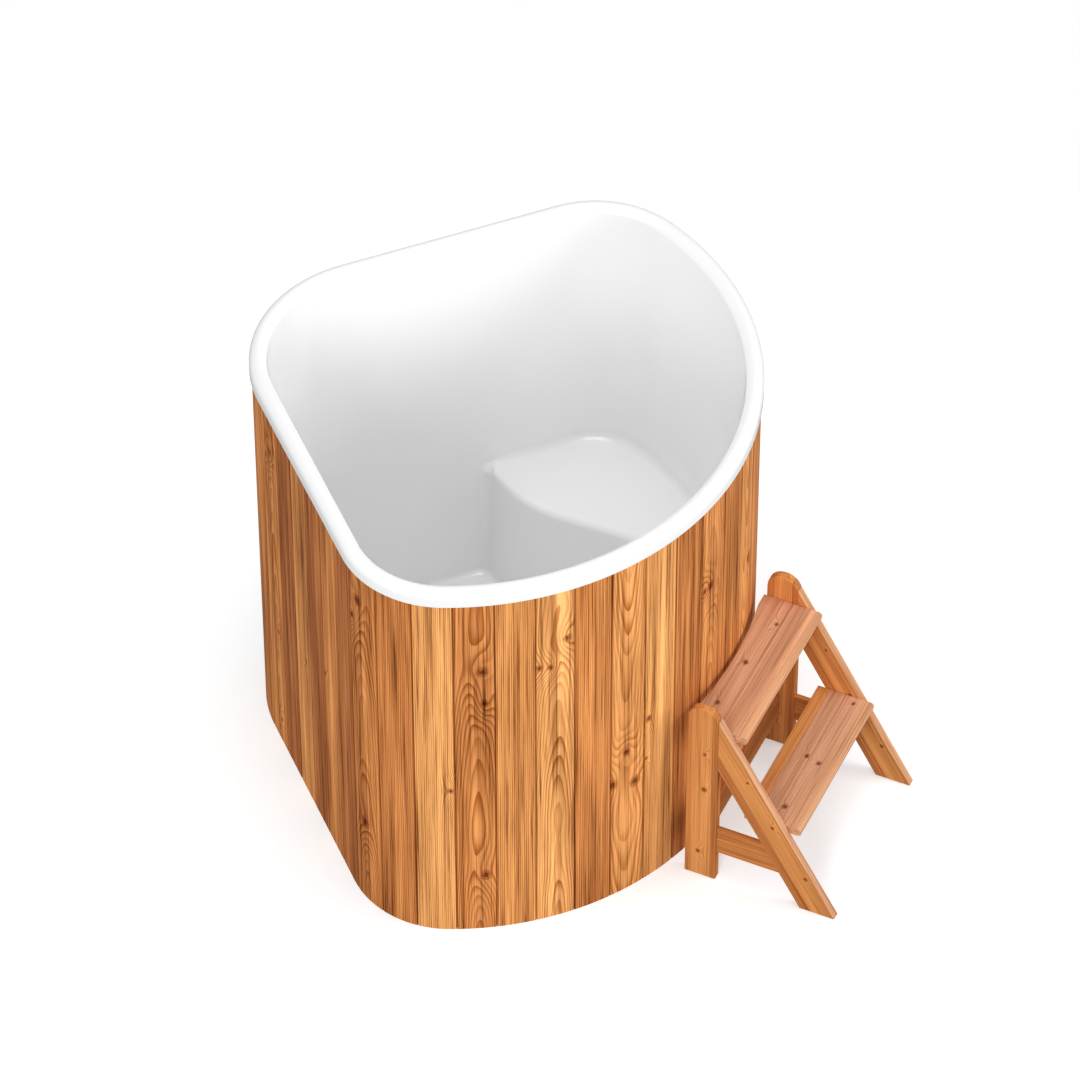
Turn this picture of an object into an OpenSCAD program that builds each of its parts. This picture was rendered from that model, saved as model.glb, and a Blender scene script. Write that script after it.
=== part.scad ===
// Corner hot tub with timber cladding, a moulded liner with two seats, a drain valve and a two-step stool.
// The frame: +Z up, the floor at z = 0, the front arc's centre on the Z axis.
// -Y is the front, where the stool stands, and +Y points into the corner of the room.

/* [Tub plan] */
// Radius of the curved front, over the boards
front_r = 661; // [650:1:690]
// Radius of the two side corners, over the boards
side_r = 225; // [205:1:240]
// Radius of the rear corner, over the boards
corner_r = 295; // [270:1:320]
// Distance from the front arc's centre back to the rear corner
rear_reach = 429; // [415:1:450]

/* [Cladding] */
// Height of the boards above the floor
stave_h = 1012; // [960:1:1060]
// Thickness of a board
stave_t = 18; // [15:1:20]
// Cover width that the boards are ripped to, before they are shared out round the tub
stave_cover = 86.4; // [80:0.1:110]
// Distance from the front centre to the nearest joint, to the right
first_joint = 18; // [0:1:40]
// Open gap between two boards at their outer faces
joint_gap = 1; // [0.6:0.1:1.4]
// Bevel along each outer edge of a board
stave_bevel = 2; // [1:0.5:4]
// Length of a board's tongue
tongue_l = 6; // [4:0.5:8]
// Thickness of a board's tongue
tongue_t = 5; // [4:0.5:6]

/* [Liner] */
// Thickness of the moulded shell
shell_t = 6; // [5:0.5:7]
// Width of the rolled rim
rim_w = 38; // [35:1:45]
// Height of the rim's crown above the boards
rim_rise = 24; // [20:1:30]
// Height of the rim's rounded crown itself
rim_round = 18; // [15:1:19]
// How far the rim hangs down over the boards
rim_drop = 12; // [8:1:20]
// How far the rim stands out past the boards
rim_over = 5; // [4:0.5:8]
// Slope of the liner's walls from upright, in degrees
wall_draft = 4.7; // [3.5:0.1:5]
// Radius where a wall meets a seat
cove_r = 20; // [12:1:30]
// Radius where the walls and risers meet the floor
foot_r = 12; // [8:1:20]
// Radius of the seats' front edges
nose_r = 15; // [10:1:20]

/* [Seats] */
// Height of the seats above the floor
seat_h = 400; // [360:1:440]
// Width of the footwell between the two seats
footwell_w = 540; // [480:2:600]
// Fall of a seat towards the footwell, so that water runs off
seat_fall = 2; // [1:0.5:5]
// Where the seats' front edges start to swing outwards at the rear, measured along Y
swing_rear = -140; // [-180:5:-110]
// Where they start to swing outwards at the front, measured along Y
swing_front = -360; // [-400:5:-330]
// Radius of the swing at the rear
swing_r = 250; // [220:5:300]
// Angle from the front centre to the seats' front ends, in degrees
seat_end_a = 31.7; // [29:0.1:34]
// Slope of the risers under the seats from upright, in degrees
riser_draft = 3; // [1:0.5:4]

/* [Base and frame] */
// Height of the joists
joist_h = 70; // [66:1:90]
// Width of the joists
joist_w = 45; // [38:1:50]
// Spacing of the joists
joist_step = 230; // [220:5:235]
// Distance from the middle of the side corners to the joist in front of them
joist_room = 80; // [80:1:90]
// Thickness of the deck that carries the liner
deck_t = 15; // [12:1:18]
// Thickness of the hoops that the boards are fixed to
hoop_t = 12; // [9:1:12]
// Height of the hoops
hoop_h = 45; // [35:1:60]
// Distance from the boards' tops down to the top hoop's lower edge
top_hoop_drop = 122; // [112:2:200]
// Thickness of the ring between the boards' tops and the rim
cap_ring_t = 11; // [9:0.5:12]
// Thickness of the insulation round the lower part
low_foam_t = 30; // [20:1:35]
// Thickness of the insulation round the upper part
high_foam_t = 12; // [8:1:13]
// Clearance between timber parts that are fitted to each other
fit = 0.3; // [0.2:0.1:0.5]

/* [Seat trestles] */
// Share of a seat's length that a trestle carries
trestle_share = 0.55; // [0.45:0.01:0.6]
// Width of a trestle
trestle_w = 110; // [90:5:120]
// Thickness of the trestles' boards
trestle_t = 18; // [15:1:21]

/* [Drain] */
// Distance from the middle of the side corner back to the floor drain
drain_back = 252; // [230:2:270]
// Height of the drain pipe's centre above the floor
pipe_z = 44; // [42:1:46]
// Outside radius of the drain pipe
pipe_r = 16; // [14:0.5:17]
// Wall of the drain pipe
pipe_wall = 2.4; // [1.8:0.1:3]
// Radius of the drain's flange on the footwell floor
flange_r = 38; // [34:1:42]
// Thickness of the drain's flange
flange_t = 3; // [2.5:0.5:5]
// Number of holes in the outer ring of the strainer
strainer_holes = 10; // [8:1:12]
// Radius of the round valve body at the ball
valve_r = 24; // [23:0.5:25]
// Length of the valve body
valve_l = 64; // [60:1:72]
// Distance from the boards to the valve body
valve_off = 12; // [10:1:20]
// Radius of the valve's ball
ball_r = 17.5; // [16.5:0.1:18]
// Radius of the waterway through the ball
way_r = 11.5; // [10:0.5:12]
// Length of the valve's lever from its pivot
lever_l = 105; // [85:1:120]
// Length of the hose spigot
spigot_l = 34; // [28:1:45]
// Outside radius of the hose spigot
spigot_r = 16; // [14:0.5:17]

/* [Stool] */
// Overall width of the stool
stool_w = 448; // [400:2:500]
// Turn of the stool about the vertical, in degrees
stool_turn = -1.6; // [-3:0.1:0]
// How far the stool stands to the side of the middle
stool_shift = -30; // [-60:1:0]
// Distance from the tub's front to the stool's posts
stool_off = 0; // [0:1:40]
// Width of the stool's planks
plank_w = 72; // [65:1:80]
// Thickness of the stool's planks
plank_t = 20; // [18:1:24]
// Height of the posts
post_h = 521; // [500:1:560]
// Slope of the legs from upright, in degrees
leg_a = 29.6; // [27:0.1:32]
// Thickness of the side rails
rail_t = 12; // [10:1:16]
// Height of the rails' and the stretcher's lower edges
rail_z = 86; // [60:1:120]
// Height of the upper tread's top
upper_tread_z = 453; // [440:1:460]
// Height of the lower tread's top
lower_tread_z = 225; // [200:1:250]
// Depth of a tread's board
tread_board_w = 66; // [60:1:70]
// Thickness of the treads
tread_t = 22; // [18:1:26]
// How far a tread stands out past the legs' front edges, level with its top
tread_nosing = 34.5; // [20:0.5:36]
// Radius of the treads' rounded front edges
tread_round = 9; // [5:0.5:10]
// Radius of the hollow in the upper tread's rear edge
hollow_r = 950; // [800:10:1200]
// Least gap between the hollow and the tub
hollow_gap = 9.5; // [6:0.5:14]
// Height of the cleats under the treads
cleat_h = 30; // [24:1:36]
// Thickness of the cleats
cleat_t = 20; // [16:1:24]
// Radius of the screws' shanks
screw_r = 2; // [1.5:0.1:2.5]

/* [Hidden] */
$fn = 48;

wood = "#c8762f";
stool_wood = "#d08a4c";
plywood = "#d9b98a";
gelcoat = "#f4f4f2";
steel = "#b9bcc0";

// Plan of the cladding: each outline point is given by s, the distance round from the front centre, and d,
// the depth in from the boards' outer face. The right half holds a front arc, a side corner, a straight wall
// and half of the rear corner.
apex_y = rear_reach + corner_r * (sqrt(2) - 1);
side_sum = apex_y - side_r * sqrt(2);
side_y = (side_sum - sqrt(2 * pow(front_r - side_r, 2) - pow(side_sum, 2))) / 2;
side_x = side_sum - side_y;
side_a = atan2(side_y, side_x);
corner_y = rear_reach - corner_r;
front_l = front_r * (90 + side_a) * PI / 180;
side_l = side_r * (45 - side_a) * PI / 180;
wall_l = sqrt(2) * side_x + side_r - corner_r;
corner_l = corner_r * PI / 4;
wall_s = front_l + side_l;
corner_s = wall_s + wall_l;
half_l = corner_s + corner_l;
round_l = 2 * half_l;

function polar(r, a) = [r * cos(a), r * sin(a)];
function degrees(l, r) = l / r * 180 / PI;

function right_half(s, d) =
    s < front_l ? polar(front_r - d, degrees(s, front_r) - 90)
    : s < wall_s ? [side_x, side_y] + polar(side_r - d, side_a + degrees(s - front_l, side_r))
    : s < corner_s ? [side_x, side_y] + polar(side_r - d, 45) + (s - wall_s) * [-1, 1] / sqrt(2)
    : [0, corner_y] + polar(corner_r - d, 45 + degrees(s - corner_s, corner_r));
function wrapped(s) = s - round_l * floor(s / round_l);
function outline(s, d) =
    let (w = wrapped(s), p = right_half(w <= half_l ? w : round_l - w, d))
    w <= half_l ? p : [-p[0], p[1]];

// Distances round the right half at which rings are drawn, denser round the curves
function steps(from, to, n) = [for (i = [0 : n - 1]) from + (to - from) * i / n];
ring_half = concat(
    steps(0, front_l, 24), steps(front_l, wall_s, 20), steps(wall_s, corner_s, 1),
    steps(corner_s, half_l, 14)
);
ring_points = concat(ring_half, [half_l], [for (i = [len(ring_half) - 1 : -1 : 1]) -ring_half[i]]);
module plan(d) polygon([for (s = ring_points) outline(s, d)]);
module band(d, t, z, h) translate([0, 0, z]) linear_extrude(h) difference() {
    plan(d);
    plan(d + t);
}

// Levels and depths that pieces share
deck_top = joist_h + deck_t;
floor_z = deck_top + shell_t;
top_hoop_z = stave_h - top_hoop_drop;
middle_hoop_z = (deck_top + top_hoop_z) / 2;
crown_z = stave_h + rim_rise;
shoulder_z = crown_z - rim_round;
rim_inner_d = rim_w - rim_over;
skirt_gap = 1;
frame_d = stave_t + fit;
function wall_d(z) = rim_inner_d + (shoulder_z - z) * tan(wall_draft);

// Front edge of a seat, from its front end to its rear end
seat_d = wall_d(seat_h);
edge_x = footwell_w / 2;
front_end = polar(front_r - seat_d, seat_end_a - 90);
front_swing_r = pow(swing_front - front_end[1], 2) / (2 * (front_end[0] - edge_x));
wall_sum = apex_y - seat_d * sqrt(2);
rear_end_y = swing_rear + swing_r * (sqrt(1 + 2 * (wall_sum - edge_x - swing_rear) / swing_r) - 1);
function past(a) = max(0, a);
function edge_at(y) =
    edge_x + pow(past(y - swing_rear), 2) / (2 * swing_r)
    + pow(past(swing_front - y), 2) / (2 * front_swing_r);
function edge_slope(y) = past(y - swing_rear) / swing_r - past(swing_front - y) / front_swing_r;
seat_s0 = front_r * seat_end_a * PI / 180;
seat_s1 = wall_s + (rear_end_y + seat_d / sqrt(2) - outline(wall_s, 0)[1]) * sqrt(2);

// Stations round the right half of the liner, closer together at the seats' ends
tip_steps = [0, 3, 9, 20, 36, 58];
tip_l = 80;
function half_steps(from, to, n) = steps(from + (to - from) / (2 * n), to + (to - from) / (2 * n), n);
stations_half = concat(
    half_steps(0, seat_s0, 8),
    [for (t = tip_steps) seat_s0 + t],
    steps(seat_s0 + tip_l, front_l, 8),
    steps(front_l, wall_s, 14),
    steps(wall_s, seat_s1 - tip_l, 2),
    [for (i = [len(tip_steps) - 1 : -1 : 0]) seat_s1 - tip_steps[i]],
    steps(seat_s1 + tip_l / 2, corner_s, 3),
    half_steps(corner_s, half_l, 9)
);

// What the profile at a station needs: wall points, the seat's edge and how much of a seat there is
function unit(v) = v / norm(v);
function seat_share(s) = (s - seat_s0) / (seat_s1 - seat_s0);
function edge_y(s) = front_end[1] + (rear_end_y - front_end[1]) * seat_share(s);
function on_seat(s) = s > seat_s0 + 0.01 && s < seat_s1 - 0.01;
function station(s) =
    let (
        out = unit(outline(s, 0) - outline(s, 10)),
        y = edge_y(s),
        wall = outline(s, seat_d),
        edge = on_seat(s) ? [edge_at(y), y] : wall,
        depth = norm(edge - wall),
        q = min(1, depth / (cove_r + nose_r + 5)),
        inward = on_seat(s) ? unit(edge - wall) : -out,
        under = unit(out * (1 - q) + q * unit([1, -edge_slope(y)]))
    )
    [s, out, wall, edge, q, inward, under];

// A row of the liner: kind, height, sideways shift, and how far below the seen side the hidden side lies, in degrees
function seat_rows() = [
    ["cove", seat_h + cove_r, 0, 0],
    ["cove", seat_h + cove_r * (1 - sin(45)), cove_r * (1 - cos(45)), 45],
    ["cove", seat_h, cove_r, 90],
    ["nose", seat_h - seat_fall, nose_r, 90],
    ["nose", seat_h - seat_fall - nose_r * (1 - sin(45)), nose_r * (1 - cos(45)), 45],
    ["nose", seat_h - seat_fall - nose_r, 0, 0],
    ["foot", floor_z + foot_r, 0, 0],
    ["foot", floor_z + foot_r * (1 - sin(45)), foot_r * (1 - cos(45)), 45],
    ["foot", floor_z, foot_r, 90]
];
function flat3(p, z) = [p[0], p[1], z];

// A riser's line at a foot row, and the two points where it meets the walls at that height
function foot_d(row) = wall_d(row[1]) + row[2];
function riser_in(row) = past(seat_h - row[1]) * tan(riser_draft) + row[2];
function riser_point(y, row) = [edge_at(y), y] - riser_in(row) * unit([1, -edge_slope(y)]);
function past_front(y, row) = norm(riser_point(y, row)) > front_r - foot_d(row);
function past_rear(y, row) = riser_point(y, row) * [1, 1] > apex_y - foot_d(row) * sqrt(2);
halvings = 30;
function front_y(row, a = front_end[1] - nose_r, b = swing_front, n = halvings) =
    let (c = (a + b) / 2)
    n == 0 ? c : past_front(c, row) ? front_y(row, c, b, n - 1) : front_y(row, a, c, n - 1);
function rear_y(row, a = swing_rear, b = rear_end_y + nose_r, n = halvings) =
    let (c = (a + b) / 2)
    n == 0 ? c : past_rear(c, row) ? rear_y(row, a, c, n - 1) : rear_y(row, c, b, n - 1);
function front_station(p) = front_r * atan2(p[0], -p[1]) * PI / 180;
function rear_station(p) = wall_s + (p - outline(wall_s, 0)) * [-1, 1] / sqrt(2);
function foot_point(s, row) =
    let (
        y0 = front_y(row),
        y1 = rear_y(row),
        s0 = front_station(riser_point(y0, row)),
        s1 = rear_station(riser_point(y1, row)),
        shared = (s - seat_s1) / (corner_s - seat_s1)
    )
    on_seat(s) ? riser_point(y0 + (y1 - y0) * seat_share(s), row)
        : outline(s < seat_s1 ? s * s0 / seat_s0 : s < corner_s ? s1 + (corner_s - s1) * shared : s, foot_d(row));
function seat_point(st, row) = row[0] == "foot" ? foot_point(st[0], row)
    : let (seat = row[0] == "cove" ? st[2] + st[5] * row[2] * st[4]
        : st[3] - st[5] * row[2] * st[4] - st[6] * riser_in([row[0], row[1], 0]))
      outline(st[0], wall_d(row[1])) * (1 - st[4]) + seat * st[4];
function hidden_shift(st, row) =
    let (
        side = row[0] == "cove" ? st[1] : st[6],
        a = row[0] == "foot" ? row[3] : row[3] * st[4],
        v = flat3(side * cos(a), -sin(a))
    )
    v * shell_t;

// Rows above the seats: depth in from the boards' face, and height
crown_steps = 6;
wall_row_gap = (shoulder_z - seat_h) / 3;
rim_rows = concat(
    [[-rim_over, stave_h - rim_drop]],
    [for (i = [0 : crown_steps]) let (a = 180 - 180 * i / crown_steps)
        [rim_w / 2 - rim_over + rim_w / 2 * cos(a), shoulder_z + rim_round * sin(a)]],
    [for (i = [1 : 2]) let (z = shoulder_z - i * wall_row_gap) [wall_d(z), z]]
);
under_rows = [
    [wall_d(stave_h - 2 * rim_drop) - shell_t, stave_h - 2 * rim_drop],
    [rim_inner_d - shell_t, stave_h + cap_ring_t + fit],
    [-skirt_gap, stave_h + cap_ring_t + fit],
    [-skirt_gap, stave_h - rim_drop]
];
floor_middle = [joist_w, side_y];

module liner_shell() {
    half = [for (s = stations_half) station(s)];
    rows = seat_rows();
    nh = len(half);
    n = 2 * nh;
    function mirrored(p) = [-p[0], p[1], p[2]];
    function ring(list) = concat(list, [for (i = [nh - 1 : -1 : 0]) mirrored(list[i])]);
    function plain_ring(row) = ring([for (st = half) flat3(outline(st[0], row[0]), row[1])]);
    function seen_ring(row) = ring([for (st = half) flat3(seat_point(st, row), row[1])]);
    function hidden_ring(row) = ring([for (st = half)
        flat3(seat_point(st, row), row[1]) + hidden_shift(st, row)]);
    rings = concat(
        [for (r = rim_rows) plain_ring(r)],
        [for (r = rows) seen_ring(r)],
        [for (i = [len(rows) - 1 : -1 : 0]) hidden_ring(rows[i])],
        [for (r = under_rows) plain_ring(r)]
    );
    m = len(rings);
    last_seen = len(rim_rows) + len(rows) - 1;
    points = concat(
        [for (r = rings) for (p = r) p],
        [flat3(floor_middle, floor_z), flat3(floor_middle, floor_z - shell_t)]
    );
    function v(r, i) = (r % m) * n + i % n;
    strips = [for (r = [0 : m - 1]) if (r != last_seen) for (i = [0 : n - 1]) each [
        [v(r, i), v(r + 1, i + 1), v(r, i + 1)],
        [v(r, i), v(r + 1, i), v(r + 1, i + 1)]
    ]];
    caps = [for (i = [0 : n - 1]) each [
        [v(last_seen, i + 1), v(last_seen, i), m * n],
        [v(last_seen + 1, i), v(last_seen + 1, i + 1), m * n + 1]
    ]];
    polyhedron(points, concat(strips, caps));
}

module liner() color(gelcoat) difference() {
    liner_shell();
    at_drain(floor_z - 2 * shell_t) cylinder(r = pipe_r + 2 * fit, h = 4 * shell_t);
}

// Boards: a tongue on the right side, a groove on the left
stave_n = round(round_l / stave_cover);
pitch = round_l / stave_n;
groove_play = 0.3;
tongue_d0 = (stave_t - tongue_t) / 2;
tongue_d1 = tongue_d0 + tongue_t;
function stave_middle(i) = first_joint + (i + 0.5) * pitch;
function on_straight(s) = let (w = wrapped(s), h = min(w, round_l - w)) h > wall_s && h < corner_s;
function curve_steps(s0, s1) = on_straight(s0) && on_straight(s1) ? 1 : 6;
function stave_points(i) =
    let (
        s0 = stave_middle(i) - pitch / 2 + joint_gap / 2,
        s1 = stave_middle(i) + pitch / 2 - joint_gap / 2,
        n = curve_steps(s0, s1),
        f0 = s0 + stave_bevel,
        f1 = s1 - stave_bevel,
        g = tongue_l + joint_gap + groove_play
    )
    concat(
        [for (k = [0 : n]) [f0 + (f1 - f0) * k / n, 0]],
        [[s1, stave_bevel], [s1, tongue_d0], [s1 + tongue_l, tongue_d0], [s1 + tongue_l, tongue_d1]],
        [[s1, tongue_d1]],
        [for (k = [n : -1 : 0]) [s0 + (s1 - s0) * k / n, stave_t]],
        [[s0, tongue_d1 + groove_play], [s0 + g, tongue_d1 + groove_play]],
        [[s0 + g, tongue_d0 - groove_play], [s0, tongue_d0 - groove_play], [s0, stave_bevel]]
    );
module stave(i) linear_extrude(stave_h) polygon([for (p = stave_points(i)) outline(p[0], p[1])]);

// The drain's pipe leaves through the middle of a board in the right side corner, square to the board. Its own
// frame has the corner's middle at x = 0, the drain behind it and the boards' outer face at x = side_r.
wide_s = front_l - side_r * side_a * PI / 180;
pipe_stave = floor((wide_s - first_joint) / pitch);
pipe_a = side_a + degrees(stave_middle(pipe_stave) - front_l, side_r);
drain_p = [side_x, side_y] - polar(drain_back, pipe_a);
module pipe_frame() translate([side_x, side_y, 0]) rotate(pipe_a) children();
module at_drain(z) pipe_frame() translate([-drain_back, 0, z]) children();
module along_pipe(x) pipe_frame() translate([x, 0, pipe_z]) rotate([0, 90, 0]) children();
module at_stem(z) pipe_frame() translate([valve_mid, 0, z]) children();

// Which part of the outline a board's middle lies on, and on which side
function stave_part(i) =
    let (w = wrapped(stave_middle(i)), h = min(w, round_l - w), side = w < half_l ? "right" : "left")
    h < front_l ? "front" : h < wall_s ? str(side, " side") : h < corner_s ? str(side, " wall") : "corner";
module staves(part) color(wood) for (i = [0 : stave_n - 1]) if (stave_part(i) == part) stave(i);
module front_staves() staves("front");
module left_side_staves() staves("left side");
module right_side_staves() color(wood) difference() {
    staves("right side");
    along_pipe(0) cylinder(r = pipe_r + 1, h = 2 * side_r);
}
module left_wall_staves() staves("left wall");
module right_wall_staves() staves("right wall");
module rear_corner_staves() staves("corner");

// Rings behind and on top of the boards
module hoop(z) color(plywood) band(frame_d, hoop_t, z, hoop_h);
module top_hoop() hoop(top_hoop_z);
module middle_hoop() hoop(middle_hoop_z);
module bottom_hoop() hoop(deck_top);
module cap_ring() color(plywood) band(fit, rim_inner_d - shell_t - 2 * fit, stave_h, cap_ring_t);
module foam(z0, z1, t) color("#e9e3c8") band(frame_d, t, z0 + fit, z1 - z0 - 2 * fit);
module lower_insulation() foam(deck_top + hoop_h, middle_hoop_z, low_foam_t);
module upper_insulation() foam(middle_hoop_z + hoop_h, top_hoop_z, high_foam_t);

// Base
nut_r = 2 * pipe_r;
module deck() color(plywood) translate([0, 0, joist_h]) linear_extrude(deck_t) difference() {
    plan(frame_d);
    translate(drain_p) circle(r = nut_r + 4);
}
joist_y = [side_y - joist_room - joist_step, side_y - joist_room, 0, joist_step];
module joists() color("#b98d5a") for (y = joist_y)
    intersection() {
        linear_extrude(joist_h) plan(frame_d);
        translate([-front_r, y - joist_w / 2, 0]) cube([2 * front_r, joist_w, joist_h]);
    }

wall_x = side_x + side_r;
trestle_l = trestle_share * (rear_end_y - front_end[1]);
module seat_trestle() {
    top_z = seat_h - seat_fall - shell_t - fit - trestle_t;
    middle_x = (edge_x + wall_x - seat_d) / 2;
    middle_y = (front_end[1] + rear_end_y) / 2;
    translate([middle_x - trestle_w / 2, middle_y - trestle_l / 2, deck_top]) {
        translate([0, 0, top_z - deck_top]) cube([trestle_w, trestle_l, trestle_t]);
        for (y = [trestle_t, trestle_l - 2 * trestle_t])
            translate([0, y, 0]) cube([trestle_w, trestle_t, top_z - deck_top]);
    }
}
module right_seat_trestle() color(plywood) seat_trestle();
module left_seat_trestle() color(plywood) mirror([1, 0, 0]) seat_trestle();

// Drain under the footwell: flange, gasket, nut, elbow and pipe
tail_r = pipe_r;
bore_r = pipe_r - pipe_wall;
socket_r = pipe_r + 5;
running = 0.1;
gasket_t = 1.5;
nut_h = 9;
slot_r = 2.5;
plate_t = flange_t / 2;
elbow_top = pipe_z + socket_r + 3;
flange_z = floor_z;
module drain_flange() color(steel) at_drain(0) difference() {
    union() {
        translate([0, 0, elbow_top - 2 * pipe_wall])
            cylinder(r = tail_r, h = flange_z - elbow_top + 2 * pipe_wall);
        translate([0, 0, flange_z]) cylinder(r1 = flange_r, r2 = flange_r - flange_t, h = flange_t);
    }
    cylinder(r = bore_r, h = flange_z);
    translate([0, 0, flange_z + plate_t]) cylinder(r = flange_r - 3 * flange_t, h = flange_t);
    for (i = [1 : strainer_holes]) rotate(i * 360 / strainer_holes)
        translate([bore_r - 1.4 * slot_r, 0, flange_z - plate_t]) cylinder(r = slot_r, h = 3 * plate_t);
    for (i = [1 : strainer_holes / 2]) rotate(i * 720 / strainer_holes)
        translate([1.8 * slot_r, 0, flange_z - plate_t]) cylinder(r = 0.7 * slot_r, h = 3 * plate_t);
}
module drain_gasket() color("#2b2b2b") at_drain(deck_top - gasket_t) difference() {
    cylinder(r = nut_r - 1, h = gasket_t);
    cylinder(r = tail_r + running, h = 3 * gasket_t, center = true);
}
module drain_locknut() color("#e8e8e8") at_drain(deck_top - gasket_t - nut_h) difference() {
    cylinder(r = nut_r, h = nut_h);
    cylinder(r = tail_r + running, h = 3 * nut_h, center = true);
    for (i = [1 : 8]) rotate(45 * i) translate([nut_r, 0, nut_h / 2]) cube([3, 8, 2 * nut_h], center = true);
}
module drain_elbow() color("#9aa0a4") at_drain(pipe_z) difference() {
    union() {
        cylinder(r = socket_r, h = elbow_top - pipe_z);
        rotate([0, 90, 0]) cylinder(r = socket_r, h = socket_r + 14);
        sphere(r = socket_r);
    }
    cylinder(r = bore_r, h = 2 * socket_r);
    rotate([0, 90, 0]) cylinder(r = bore_r, h = 3 * socket_r);
    translate([0, 0, elbow_top - pipe_z - 2 * pipe_wall - 1]) cylinder(r = tail_r + running, h = socket_r);
    translate([socket_r, 0, 0]) rotate([0, 90, 0]) cylinder(r = pipe_r + running, h = socket_r);
}

// Valve outside the boards, on the pipe's axis
valve_x0 = side_r + valve_off;
valve_mid = valve_x0 + valve_l / 2;
valve_x1 = valve_x0 + valve_l;
socket_l = 14;
pipe_x0 = socket_r + 1 - drain_back;
module drain_pipe() color("#9aa0a4") along_pipe(pipe_x0) difference() {
    pipe_l = valve_x0 + socket_l - 1 - pipe_x0;
    cylinder(r = pipe_r, h = pipe_l);
    translate([0, 0, -1]) cylinder(r = bore_r, h = pipe_l + 2);
}
rosette_r = 31;
rosette_t = 7;
module wall_rosette() color(steel) difference() {
    along_pipe(side_r - rosette_t / 2) cylinder(r1 = rosette_r, r2 = rosette_r - 2, h = rosette_t);
    along_pipe(side_r - rosette_t) cylinder(r = pipe_r + running, h = 3 * rosette_t);
    translate([side_x, side_y, 0]) cylinder(r = side_r + fit, h = 3 * pipe_z, $fn = 720);
}
seat_ring_l = 6;
valve_flat_l = 12;
stem_r = 4.5;
stem_play = 0.05;
ball_play = 0.5;
neck_r = 2 * stem_r;
neck_top = pipe_z + valve_r + neck_r;
module valve_body() color("#c9c9c4") difference() {
    union() {
        along_pipe(valve_x0) cylinder(r = socket_r + 1, h = valve_l);
        along_pipe(valve_mid) sphere(r = valve_r);
        for (x = [valve_x0, valve_x1 - valve_flat_l])
            along_pipe(x) cylinder(r = valve_r, h = valve_flat_l, $fn = 8);
        at_stem(pipe_z) cylinder(r = neck_r, h = neck_top - pipe_z);
    }
    along_pipe(valve_x0 - 1) cylinder(r = bore_r, h = valve_l + 2);
    along_pipe(valve_x0 - 1) cylinder(r = pipe_r + running, h = socket_l + 1);
    along_pipe(valve_x1 - socket_l) cylinder(r = spigot_r + running, h = socket_l + 1);
    along_pipe(valve_mid - ball_r) cylinder(r = ball_r + ball_play, h = 2 * ball_r);
    at_stem(pipe_z) cylinder(r = stem_r + stem_play, h = 3 * valve_r);
}
module valve_seats() color("#f2f2f0") difference() {
    for (x = [valve_mid - ball_r, valve_mid + ball_r - seat_ring_l])
        along_pipe(x) cylinder(r = ball_r + ball_play - running, h = seat_ring_l);
    along_pipe(valve_mid - ball_r - 1) cylinder(r = way_r, h = 2 * ball_r + 2);
    at_stem(pipe_z) sphere(r = ball_r + stem_play);
}
spigot_nut_r = 23;
spigot_nut_l = 8;
spigot_x1 = socket_l - 1 + spigot_nut_l + spigot_l;
module hose_spigot() color("#c9c9c4") along_pipe(valve_x1 - socket_l + 1) difference() {
    union() {
        cylinder(r = spigot_r, h = spigot_x1);
        translate([0, 0, socket_l - 1]) cylinder(r = spigot_nut_r, h = spigot_nut_l, $fn = 6);
        translate([0, 0, spigot_x1]) cylinder(r1 = spigot_r, r2 = spigot_r - 2, h = 3);
    }
    cylinder(r = way_r, h = 3 * spigot_x1, center = true);
}
// The ball, stem and lever turn together; shut, the lever points to the front
slot_h = 4;
slot_w = 4;
module valve_ball() color(steel) difference() {
    at_stem(pipe_z) sphere(r = ball_r);
    at_stem(pipe_z) rotate([90, 0, 0]) cylinder(r = way_r, h = 3 * ball_r, center = true);
    at_stem(pipe_z + ball_r - slot_h)
        translate([-slot_w / 2, -ball_r, 0]) cube([slot_w, 2 * ball_r, 2 * slot_h]);
}
lever_z = neck_top + 2;
lever_t = 3;
module valve_stem() color(steel) at_stem(pipe_z + ball_r) {
    translate([running - slot_w / 2, -stem_r / 2, -slot_h])
        cube([slot_w - 2 * running, stem_r, slot_h + 2 * ball_play]);
    translate([0, 0, ball_play]) cylinder(r = stem_r, h = lever_z + 2 * stem_r - pipe_z - ball_r - ball_play);
}
lever_w = 20;
lever_rise = 12;
lever_pad = 12;
bend_y0 = -2 * lever_pad;
bend_y1 = bend_y0 - lever_rise;
grip_l = 0.6 * lever_l;
grip_t = 2;
lever_path = [
    [lever_pad, 0], [lever_pad, lever_t], [bend_y0, lever_t], [bend_y1, lever_rise + lever_t],
    [-lever_l, lever_rise + lever_t], [-lever_l, lever_rise], [bend_y1 - lever_t / 3, lever_rise],
    [bend_y0 - lever_t / 3, 0]
];
module valve_lever() color("#8f9396") difference() {
    at_stem(lever_z) rotate([90, 0, 90]) translate([0, 0, -lever_w / 2])
        linear_extrude(lever_w) polygon(lever_path);
    at_stem(lever_z - 1) cylinder(r = stem_r + stem_play, h = 2 * lever_t);
}
module lever_grip() color("#8c1f1f") at_stem(lever_z + lever_rise - grip_t) difference() {
    translate([-lever_w / 2 - grip_t, -lever_l - grip_t, 0])
        cube([lever_w + 2 * grip_t, grip_l, lever_t + 2 * grip_t]);
    translate([-lever_w / 2, -lever_l, grip_t]) cube([lever_w, grip_l, lever_t]);
}
module lever_nut() color(steel) at_stem(lever_z + lever_t) difference() {
    cylinder(r = 1.8 * stem_r, h = stem_r, $fn = 6);
    cylinder(r = stem_r + stem_play, h = 3 * stem_r, center = true);
}

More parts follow.
